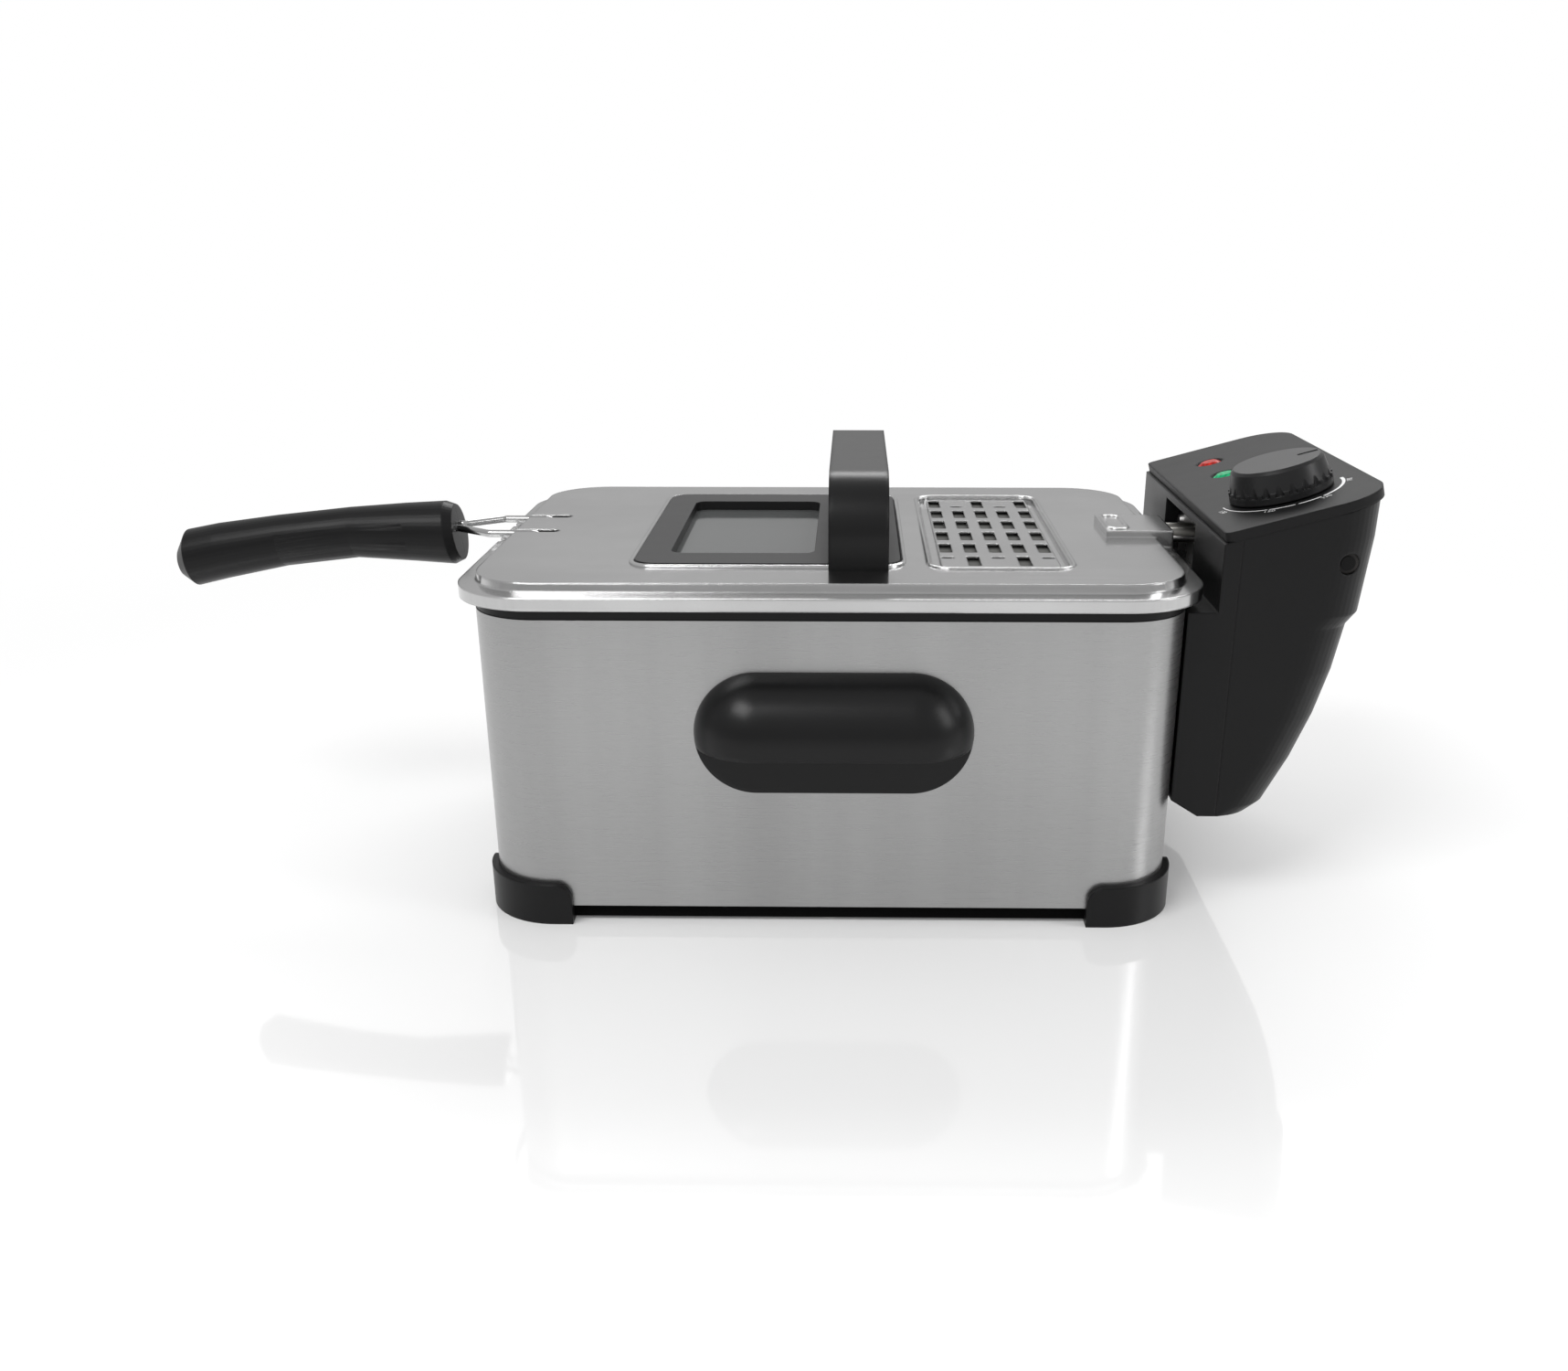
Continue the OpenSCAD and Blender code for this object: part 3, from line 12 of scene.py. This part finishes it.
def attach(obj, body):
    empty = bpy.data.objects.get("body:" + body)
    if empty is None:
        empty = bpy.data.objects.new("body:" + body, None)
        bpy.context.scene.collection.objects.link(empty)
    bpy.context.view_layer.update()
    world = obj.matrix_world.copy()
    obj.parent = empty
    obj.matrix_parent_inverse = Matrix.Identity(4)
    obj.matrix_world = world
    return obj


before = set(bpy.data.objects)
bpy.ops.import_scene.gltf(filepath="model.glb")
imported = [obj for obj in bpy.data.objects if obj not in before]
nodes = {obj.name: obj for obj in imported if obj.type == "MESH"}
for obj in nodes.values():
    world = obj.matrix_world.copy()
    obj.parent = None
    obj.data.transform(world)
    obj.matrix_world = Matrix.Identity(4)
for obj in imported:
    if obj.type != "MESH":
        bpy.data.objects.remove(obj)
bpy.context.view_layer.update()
scene = bpy.context.scene

# ---------- Camera ----------

camera_place = (0.009335, -0.647886, 0.274859)
camera_down = 0.3873    # radians below the horizontal
camera_left = 0.0141    # radians to the left of +Y

cam_data = bpy.data.cameras.new("photo_camera")
cam_data.sensor_fit = "HORIZONTAL"
cam_data.sensor_width = 36.0
cam_data.lens = 33.93
cam_data.shift_x = -0.0312
cam_data.shift_y = 0.0758
cam_data.clip_start = 0.01
cam_data.clip_end = 50
camera = bpy.data.objects.new("photo_camera", cam_data)
camera.location = camera_place
camera.rotation_euler = Euler((math.pi / 2 - camera_down, 0, camera_left))
scene.collection.objects.link(camera)
scene.camera = camera

# ---------- Shader helpers: ns and ln are a tree's nodes and links ----------

noise_low, noise_high = 0.3, 0.7    # the part of a noise's range that ramps and tints spread out
bevel_samples = 4


def new_mat(name):
    m = bpy.data.materials.new(name)
    m.use_nodes = True
    m.node_tree.nodes.clear()
    return m, m.node_tree.nodes, m.node_tree.links


def finish_mat(ns, ln, m, shader):
    out = ns.new("ShaderNodeOutputMaterial")
    ln.new(shader.outputs[0], out.inputs["Surface"])
    return m


def principled(ns, **values):
    p = ns.new("ShaderNodeBsdfPrincipled")
    for k, v in values.items():
        p.inputs[k.replace("_", " ")].default_value = v
    return p


def noise(ns, ln, scale, detail, rough):
    """Noise over the object's own place in metres, stretched by scale per axis."""
    tc = ns.new("ShaderNodeTexCoord")
    mp = ns.new("ShaderNodeMapping")
    mp.inputs["Scale"].default_value = scale
    ln.new(tc.outputs["Object"], mp.inputs["Vector"])
    n = ns.new("ShaderNodeTexNoise")
    n.inputs["Scale"].default_value = 1.0
    n.inputs["Detail"].default_value = detail
    n.inputs["Roughness"].default_value = rough
    ln.new(mp.outputs["Vector"], n.inputs["Vector"])
    return n.outputs["Fac"]


def ramp(ns, ln, value, low, high):
    r = ns.new("ShaderNodeMapRange")
    r.inputs["From Min"].default_value = noise_low
    r.inputs["From Max"].default_value = noise_high
    r.inputs["To Min"].default_value = low
    r.inputs["To Max"].default_value = high
    ln.new(value, r.inputs["Value"])
    return r.outputs["Result"]


def tint(ns, ln, value, dark, light):
    c = ns.new("ShaderNodeValToRGB")
    for stop, place, color in zip(c.color_ramp.elements, (noise_low, noise_high), (dark, light)):
        stop.position = place
        stop.color = (*color, 1)
    ln.new(value, c.inputs["Fac"])
    return c.outputs["Color"]


def blotched(ns, ln, value, color, blotch):
    """The colour, darker and lighter by the share blotch."""
    return tint(ns, ln, value, [c * (1 - blotch) for c in color], [c * (1 + blotch) for c in color])


def relief(ns, ln, value, strength, distance, soften=0.0):
    """Normal with fine relief, over edges that look rounded to the radius soften."""
    b = ns.new("ShaderNodeBump")
    b.inputs["Strength"].default_value = strength
    b.inputs["Distance"].default_value = distance
    ln.new(value, b.inputs["Height"])
    if soften:
        edge = ns.new("ShaderNodeBevel")
        edge.samples = bevel_samples
        edge.inputs["Radius"].default_value = soften
        ln.new(edge.outputs["Normal"], b.inputs["Normal"])
    return b.outputs["Normal"]


def either(ns, ln, first, second):
    """1 where either of two light path outputs is 1."""
    n = ns.new("ShaderNodeMath")
    n.operation = "MAXIMUM"
    ln.new(first, n.inputs[0])
    ln.new(second, n.inputs[1])
    return n.outputs[0]


def mixed(ns, ln, share, low, high):
    """Shader that goes from low to high as share goes from 0 to 1."""
    n = ns.new("ShaderNodeMixShader")
    ln.new(share, n.inputs[0])
    ln.new(low.outputs[0], n.inputs[1])
    ln.new(high.outputs[0], n.inputs[2])
    return n


# ---------- Materials ----------

steel_relief = 0.00003
plastic_relief = 0.00006
lens_relief = 0.0003
line_share = 0.4                  # how much of the grain also darkens the brushing's lines
warm_drop = (0, 0.01, 0.03)       # how far red, green and blue drop for a warm of 1
steel_rough = (0.85, 1.2)         # lowest and highest roughness, as shares of the one given
plastic_rough = (0.92, 1.08)
facet_tint = (0.55, 1.6)          # darkest and lightest facet of a lens, as shares of its colour


def steel_mat(name, level, rough, streak, warm=0.0, grain=0.25, blotch=0.05, soften=0.0,
              cloud_scale=(18, 18, 18)):
    """Brushed or drawn steel: streak is the texture scale per axis, high across the brushing."""
    m, ns, ln = new_mat(name)
    base = [level * (1 - drop * warm) for drop in warm_drop]
    p = principled(ns, Metallic=1.0)
    lines = noise(ns, ln, streak, detail=3.0, rough=0.6)
    cloud = noise(ns, ln, cloud_scale, detail=4.0, rough=0.55)
    mix = ns.new("ShaderNodeMix")
    mix.data_type = "RGBA"
    mix.blend_type = "MULTIPLY"
    mix.inputs["Factor"].default_value = 1.0
    ln.new(blotched(ns, ln, cloud, base, blotch), mix.inputs["A"])
    ln.new(tint(ns, ln, lines, (1 - grain * line_share,) * 3, (1.0,) * 3), mix.inputs["B"])
    ln.new(mix.outputs["Result"], p.inputs["Base Color"])
    ln.new(ramp(ns, ln, lines, *(rough * share for share in steel_rough)), p.inputs["Roughness"])
    ln.new(relief(ns, ln, lines, grain, steel_relief, soften), p.inputs["Normal"])
    return finish_mat(ns, ln, m, p)


def plastic_mat(name, color, rough, grain=0.3, grain_scale=2600, soften=0.0, spec=0.35, blotch=0.08):
    """Moulded plastic or rubber: grain_scale is the scale of its fine surface texture."""
    m, ns, ln = new_mat(name)
    p = principled(ns, Specular_IOR_Level=spec)
    fine = noise(ns, ln, scale=(grain_scale,) * 3, detail=2.0, rough=0.5)
    cloud = noise(ns, ln, scale=(25, 25, 25), detail=3.0, rough=0.5)
    ln.new(blotched(ns, ln, cloud, color, blotch), p.inputs["Base Color"])
    ln.new(ramp(ns, ln, cloud, *(rough * share for share in plastic_rough)), p.inputs["Roughness"])
    ln.new(relief(ns, ln, fine, grain, plastic_relief, soften), p.inputs["Normal"])
    return finish_mat(ns, ln, m, p)


def lens_mat(name, color, glow):
    """Coloured lens with soft facets and a faint glow."""
    m, ns, ln = new_mat(name)
    p = principled(ns, Roughness=0.2, Specular_IOR_Level=0.25, Emission_Color=(*color, 1),
                   Emission_Strength=glow)
    facets = noise(ns, ln, scale=(700, 700, 700), detail=1.0, rough=0.4)
    dark, light = ([min(1, c * share) for c in color] for share in facet_tint)
    ln.new(tint(ns, ln, facets, dark, light), p.inputs["Base Color"])
    ln.new(relief(ns, ln, facets, strength=0.5, distance=lens_relief), p.inputs["Normal"])
    return finish_mat(ns, ln, m, p)


def glass_mat(name, color):
    """Slightly hazy tinted glass."""
    m, ns, ln = new_mat(name)
    p = principled(ns, Base_Color=(*color, 1), IOR=1.5, Specular_IOR_Level=0.9, Alpha=0.82)
    haze = noise(ns, ln, scale=(40, 40, 40), detail=3.0, rough=0.5)
    ln.new(ramp(ns, ln, haze, low=0.05, high=0.12), p.inputs["Roughness"])
    return finish_mat(ns, ln, m, p)


mats = {
    # The casing's cloud is stretched upright, so its blotches run as vertical bands: partly random tone, partly
    # painted reflection bands.
    "casing": steel_mat("casing_steel", level=0.38, rough=0.3, streak=(55, 55, 4200), grain=0.16, blotch=0.12,
                        cloud_scale=(14, 14, 0.4)),
    "lid": steel_mat("lid_steel", level=0.56, rough=0.16, streak=(16, 1500, 16), grain=0.1, blotch=0.06,
                     soften=0.0012),
    "tank": steel_mat("tank_steel", level=0.5, rough=0.22, streak=(1200, 1200, 12), grain=0.2),
    "zinc": steel_mat("zinc_steel", level=0.5, rough=0.3, streak=(300, 300, 300), grain=0.1, warm=1),
    "sheath": steel_mat("element_sheath", level=0.28, rough=0.38, streak=(60, 60, 60), grain=0.2, warm=3,
                        blotch=0.2),
    "bulb": steel_mat("steel_bulb", level=0.55, rough=0.25, streak=(60, 60, 60), grain=0.1, warm=1, blotch=0.1),
    "wire": steel_mat("wire_chrome", level=0.48, rough=0.12, streak=(200, 200, 200), grain=0.05, blotch=0.05),
    "black": plastic_mat("black_plastic", (0.0065, 0.0065, 0.0068), rough=0.36, soften=0.0012, spec=0.19),
    "grip": plastic_mat("grip_plastic", (0.007, 0.007, 0.0073), rough=0.36, grain=0.4, grain_scale=1800,
                        soften=0.0008, spec=0.18),
    "panel": plastic_mat("panel_plastic", (0.012, 0.012, 0.0123), rough=0.42, soften=0.0015, spec=0.12),
    "frame": plastic_mat("window_frame_plastic", (0.014, 0.014, 0.0145), rough=0.34, grain=0.15,
                         soften=0.0008, spec=0.14),
    "knob": plastic_mat("knob_plastic", (0.009, 0.009, 0.0095), rough=0.34, soften=0.0005),
    "handle": plastic_mat("handle_plastic", (0.0065, 0.0065, 0.0068), rough=0.3, soften=0.0025, spec=0.24),
    # near-black: the knob pointer's own colour, and the painted shade of the band under the casing
    "pointer_and_shade": plastic_mat("pointer_and_painted_shade", (0.002, 0.002, 0.002), rough=0.8, grain=0.1, spec=0.05),
    "rubber": plastic_mat("grey_rubber", (0.03, 0.03, 0.03), rough=0.7, grain=0.5, spec=0.25),
    "white": plastic_mat("white_plastic", (0.75, 0.75, 0.72), rough=0.5, grain=0.15),
    "print": plastic_mat("dial_print", (0.8, 0.8, 0.8), rough=0.55, grain=0.05),
    "thermoset": plastic_mat("dark_moulding", (0.012, 0.01, 0.009), rough=0.5),
    "button": plastic_mat("button_black", (0.004, 0.004, 0.004), rough=0.4, spec=0.15),
    "pad": plastic_mat("filter_pad", (0.09, 0.09, 0.085), rough=0.8, grain=1.0, grain_scale=900, spec=0.2),
    "lamp_red": lens_mat("lamp_red", (0.4, 0.012, 0.006), glow=0.1),
    "lamp_green": lens_mat("lamp_green", (0.006, 0.33, 0.13), glow=0.1),
    "glass": glass_mat("window_glass", (0.125, 0.13, 0.13)),
}

look = {
    "casing": ["casing"],
    "lid": ["lid_pan", "filter_cover"],
    "tank": ["oil_tank"],
    "zinc": ["base_screws", "carry_handle_screws", "head_guide", "guide_rivets", "neck_screws", "head_screws",
             "head_chassis", "grip_screws", "lid_handle_screws", "window_clamp", "thermostat_shaft",
             "tube_clips"],
    "sheath": ["heating_element", "element_support", "element_guard"],
    "bulb": ["thermostat_bulb", "cutout_bulb"],
    "wire": ["basket_mesh", "basket_floor", "basket_rim", "basket_base_frame", "handle_bracket", "drain_hook",
             "handle_wires"],
    "black": ["rim_ring", "base_plate", "foot_front_left", "foot_front_right", "foot_rear_left",
              "foot_rear_right", "head_shell_inner", "head_shell_outer"],
    "handle": ["carry_handle_front", "carry_handle_rear", "lid_handle"],
    "grip": ["grip_front", "grip_rear"],
    "panel": ["head_panel"],
    "frame": ["window_frame"],
    "knob": ["control_knob"],
    "pointer_and_shade": ["knob_pointer"],
    "rubber": ["foot_pads", "cord_gland", "window_gasket"],
    "white": ["lamp_holders", "switch_plunger", "terminal_block"],
    "thermoset": ["seat_switch", "thermal_cutout", "thermostat"],
    "button": ["reset_button"],
    "pad": ["vent_filter"],
    "lamp_red": ["lamp_red"],
    "lamp_green": ["lamp_green"],
    "glass": ["window_glass"],
}
for key, names in look.items():
    for n in names:
        nodes[n].data.materials.clear()
        nodes[n].data.materials.append(mats[key])

# ---------- Smooth shading of the nodes ----------

sharp_from = 32           # degrees between faces from which an edge stays sharp
sharp_from_curved = 40    # the same on the pieces with coarser curves
curved = ("head_shell_outer", "grip_front", "grip_rear")
for n, o in nodes.items():
    o.data.polygons.foreach_set("use_smooth", [True] * len(o.data.polygons))
    o.data.set_sharp_from_angle(angle=math.radians(sharp_from_curved if n in curved else sharp_from))
    o.data.update()

# ---------- Mesh helpers ----------


def mesh_object(name, bm, material):
    """Object made from bm, with the material, in the scene."""
    me = bpy.data.meshes.new(name)
    bm.to_mesh(me)
    bm.free()
    me.materials.append(material)
    o = bpy.data.objects.new(name, me)
    scene.collection.objects.link(o)
    return o


def node_box(name):
    pts = [nodes[name].matrix_world @ v.co for v in nodes[name].data.vertices]
    return [min(p[i] for p in pts) for i in range(3)], [max(p[i] for p in pts) for i in range(3)]


# ---------- Dial print on the sloping panel ----------

panel_tilt = math.radians(15)
panel_origin = Vector((0.152, 0.0, 0.157))
knob_centre = Vector((0.032, -0.042, 0))    # on the panel
print_z = 0.00008                           # how far the print stands off the panel
scale_r = 0.0235
scale_parts = [(180, 242), (244, 268), (271, 294), (297, 360)]    # degrees round the knob
scale_thin, scale_thick = 0.0005, 0.0014
part_steps = 14
digit_r = 0.0265
digit_size = 0.0032
numbers = ("130", "150", "170", "190")
number_first, number_step = 195, 50         # degrees round the knob

panel_m = Matrix.Translation(panel_origin) @ Matrix.Rotation(-panel_tilt, 4, "Y")
knob_m = panel_m @ Matrix.Translation(knob_centre)


def flat_piece(name, outline_faces, body, material, matrix):
    bm = bmesh.new()
    for pts in outline_faces:
        bm.faces.new([bm.verts.new(p) for p in pts])
    bmesh.ops.remove_doubles(bm, verts=bm.verts, dist=1e-7)
    o = mesh_object(name, bm, material)
    o.data.transform(matrix)
    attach(o, body)


def scale_edge(t):
    """Outer radius of the scale, which grows from thin to thick round the knob."""
    start, end = math.radians(scale_parts[0][0]), math.radians(scale_parts[-1][1])
    return scale_r + scale_thin + (scale_thick - scale_thin) * (t - start) / (end - start)


def arc_faces(a0, a1):
    out = []
    for i in range(part_steps):
        t0, t1 = (a0 + (a1 - a0) * k / part_steps for k in (i, i + 1))
        corners = ((scale_r, t0), (scale_edge(t0), t0), (scale_edge(t1), t1), (scale_r, t1))
        out.append([(r * math.cos(t), r * math.sin(t), print_z) for r, t in corners])
    return out


def dial_digits(name, body_text, angle):
    cu = bpy.data.curves.new(name, "FONT")
    cu.body = body_text
    cu.size = digit_size
    cu.align_x = "CENTER"
    cu.align_y = "CENTER"
    o = bpy.data.objects.new(name, cu)
    scene.collection.objects.link(o)
    place = Vector((digit_r * math.cos(angle), digit_r * math.sin(angle), print_z))
    o.matrix_world = knob_m @ Matrix.Translation(place) @ Matrix.Rotation(angle + math.pi / 2, 4, "Z")
    cu.materials.append(mats["print"])
    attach(o, "control_head")


faces = []
for a0, a1 in scale_parts:
    faces += arc_faces(math.radians(a0), math.radians(a1))
flat_piece("dial_scale", faces, "control_head", mats["print"], knob_m)
for k, text in enumerate(numbers):
    dial_digits("dial_number_" + text, text, math.radians(number_first + number_step * k))

# ---------- Painted shade under the casing: a near-black band between the feet ---

band_low = 0.0012        # height of its lower edge
band_inset = 0.002       # how far it lies in from the casing's side
band_t = 0.002
band_chamfer = 0.0007
band_end = 0.03          # how far each end stops short of the casing's corner
case_lo, case_hi = node_box("casing")


def shade_band_piece(name, start, end, outward):
    """Near-black strip from start to end with a chamfered lower edge: painted shade under the casing."""
    profile = [(0, band_low + band_chamfer), (0, case_lo[2]), (-band_t, case_lo[2]), (-band_t, band_low),
               (-band_chamfer, band_low)]
    bm = bmesh.new()
    rings = [[bm.verts.new((e[0] + outward[0] * d, e[1] + outward[1] * d, z)) for d, z in profile]
             for e in (start, end)]
    bm.faces.new(rings[0])
    bm.faces.new(rings[1])
    for i in range(len(profile)):
        j = (i + 1) % len(profile)
        bm.faces.new([rings[0][i], rings[0][j], rings[1][j], rings[1][i]])
    bmesh.ops.recalc_face_normals(bm, faces=bm.faces)
    # the near-black strip paints the shade that falls under the casing
    o = mesh_object(name, bm, mats["pointer_and_shade"])
    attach(o, "casing")


left, right = case_lo[0] + band_end, case_hi[0] - band_end
front, rear = case_lo[1] + band_end, case_hi[1] - band_end
for side, edge, name_y, name_x in ((-1, case_lo, "front", "left"), (1, case_hi, "rear", "right")):
    x, y = (edge[i] - side * band_inset for i in range(2))
    shade_band_piece("painted_shade_band_" + name_y, (left, y), (right, y), (0, side))
    shade_band_piece("painted_shade_band_" + name_x, (x, front), (x, rear), (side, 0))

# ---------- Pressed bead round the window ----------

bead_r = 0.0012
bead_gap = 0.0013        # from the window frame's edge to the bead's centre line
bead_down = 0.0014       # from the frame's top down to that line
bead_corner = 0.0103
corner_steps = 10
bead_sides = 12
frame_lo, frame_hi = node_box("window_frame")


def loop_points(cx, cy, half_x, half_y, corner):
    """Points of a rectangle with round corners, each with its outward direction."""
    out = []
    for i, (sx, sy) in enumerate(((1, 1), (-1, 1), (-1, -1), (1, -1))):
        for k in range(corner_steps + 1):
            t = math.pi / 2 * (i + k / corner_steps)
            d = Vector((math.cos(t), math.sin(t), 0))
            out.append((Vector((cx + sx * (half_x - corner), cy + sy * (half_y - corner), 0)) + corner * d, d))
    return out


def bead_piece(name, path, z, radius, body, material):
    """Closed round bead along the path, at the height z."""
    bm = bmesh.new()
    rings = []
    for p, d in path:
        turns = [2 * math.pi * k / bead_sides for k in range(bead_sides)]
        rings.append([bm.verts.new(p + d * (radius * math.cos(t)) + Vector((0, 0, z + radius * math.sin(t))))
                      for t in turns])
    for i, a in enumerate(rings):
        b = rings[(i + 1) % len(rings)]
        for k in range(bead_sides):
            m = (k + 1) % bead_sides
            bm.faces.new([a[k], a[m], b[m], b[k]])
    bmesh.ops.recalc_face_normals(bm, faces=bm.faces)
    o = mesh_object(name, bm, material)
    o.data.polygons.foreach_set("use_smooth", [True] * len(o.data.polygons))
    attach(o, body)


bead_path = loop_points((frame_lo[0] + frame_hi[0]) / 2, 0, (frame_hi[0] - frame_lo[0]) / 2 + bead_gap,
                        (frame_hi[1] - frame_lo[1]) / 2 + bead_gap, bead_corner)
bead_piece("window_bead", bead_path, frame_hi[2] - bead_down, bead_r, "lid", mats["lid"])

# ---------- Floor ----------

floor_size = 6.0
floor_color = (0.9, 0.9, 0.9, 1)
floor_lift = 0.1                      # strength of the light that the near floor gives off
floor_near, floor_far = 0.35, 0.8     # distances at which it starts to fade to white, and is white


def floor_mat():
    """White glossy table: near the object it takes shadow and reflection, far off it is plain white."""
    m, ns, ln = new_mat("floor")
    near = principled(ns, Base_Color=floor_color, Roughness=0.05, IOR=2.2)
    lift = ns.new("ShaderNodeEmission")
    lift.inputs["Strength"].default_value = floor_lift
    white = ns.new("ShaderNodeEmission")
    lp = ns.new("ShaderNodeLightPath")
    seen = either(ns, ln, lp.outputs["Is Camera Ray"], lp.outputs["Is Glossy Ray"])
    tc = ns.new("ShaderNodeTexCoord")
    dist = ns.new("ShaderNodeVectorMath")
    dist.operation = "LENGTH"
    ln.new(tc.outputs["Object"], dist.inputs[0])
    far = ns.new("ShaderNodeMapRange")
    far.interpolation_type = "SMOOTHSTEP"
    far.inputs["From Min"].default_value = floor_near
    far.inputs["From Max"].default_value = floor_far
    ln.new(dist.outputs["Value"], far.inputs["Value"])
    share = ns.new("ShaderNodeMath")
    share.operation = "MULTIPLY"
    ln.new(far.outputs["Result"], share.inputs[0])
    ln.new(seen, share.inputs[1])
    both = ns.new("ShaderNodeAddShader")
    ln.new(near.outputs[0], both.inputs[0])
    ln.new(lift.outputs[0], both.inputs[1])
    return finish_mat(ns, ln, m, mixed(ns, ln, share.outputs[0], both, white))


bm = bmesh.new()
bmesh.ops.create_grid(bm, x_segments=1, y_segments=1, size=floor_size)
floor = mesh_object("floor", bm, floor_mat())

# ---------- World: white where it is seen, grey where it lights ----------

sky_strength = 0.75
sky_stops = [(0.0, 0.55), (0.25, 0.72), (0.5, 0.85), (1.0, 0.8)]    # height of the ray, grey

world = bpy.data.worlds.new("studio")
scene.world = world
world.use_nodes = True
wn, wl = world.node_tree.nodes, world.node_tree.links
wn.clear()
bg_seen = wn.new("ShaderNodeBackground")
bg_seen.inputs["Color"].default_value = (1, 1, 1, 1)
bg_seen.inputs["Strength"].default_value = 1.0
bg_lit = wn.new("ShaderNodeBackground")
bg_lit.inputs["Strength"].default_value = sky_strength
tc = wn.new("ShaderNodeTexCoord")
sep = wn.new("ShaderNodeSeparateXYZ")
wl.new(tc.outputs["Generated"], sep.inputs[0])
sky = wn.new("ShaderNodeValToRGB")
stops = sky.color_ramp.elements
for place, _ in sky_stops[1:-1]:
    stops.new(place)
for stop, (place, grey) in zip(stops, sky_stops):
    stop.position = place
    stop.color = (grey, grey, grey, 1)
wl.new(sep.outputs["Z"], sky.inputs["Fac"])
wl.new(sky.outputs["Color"], bg_lit.inputs["Color"])
lp = wn.new("ShaderNodeLightPath")
direct = either(wn, wl, lp.outputs["Is Camera Ray"], lp.outputs["Is Transmission Ray"])
wout = wn.new("ShaderNodeOutputWorld")
wl.new(mixed(wn, wl, direct, bg_lit, bg_seen).outputs[0], wout.inputs["Surface"])

# ---------- Lamps ----------


def softbox(name, loc, target, size, watts):
    """Rectangular area lamp at loc, turned to face target."""
    d = bpy.data.lights.new(name, "AREA")
    d.shape = "RECTANGLE"
    d.size, d.size_y = size
    d.energy = watts
    o = bpy.data.objects.new(name, d)
    o.location = loc
    o.rotation_euler = (Vector(target) - Vector(loc)).to_track_quat("-Z", "Y").to_euler()
    scene.collection.objects.link(o)


softbox("key", (-0.7, -0.9, 1.5), target=(0, 0, 0.08), size=(0.9, 0.6), watts=14)
softbox("back", (0.25, 1.3, 1.3), target=(0, 0, 0.1), size=(1.4, 0.5), watts=14)
softbox("side", (1.5, -0.5, 0.9), target=(0.05, 0, 0.08), size=(0.5, 0.9), watts=6)

scene.view_settings.view_transform = "Standard"
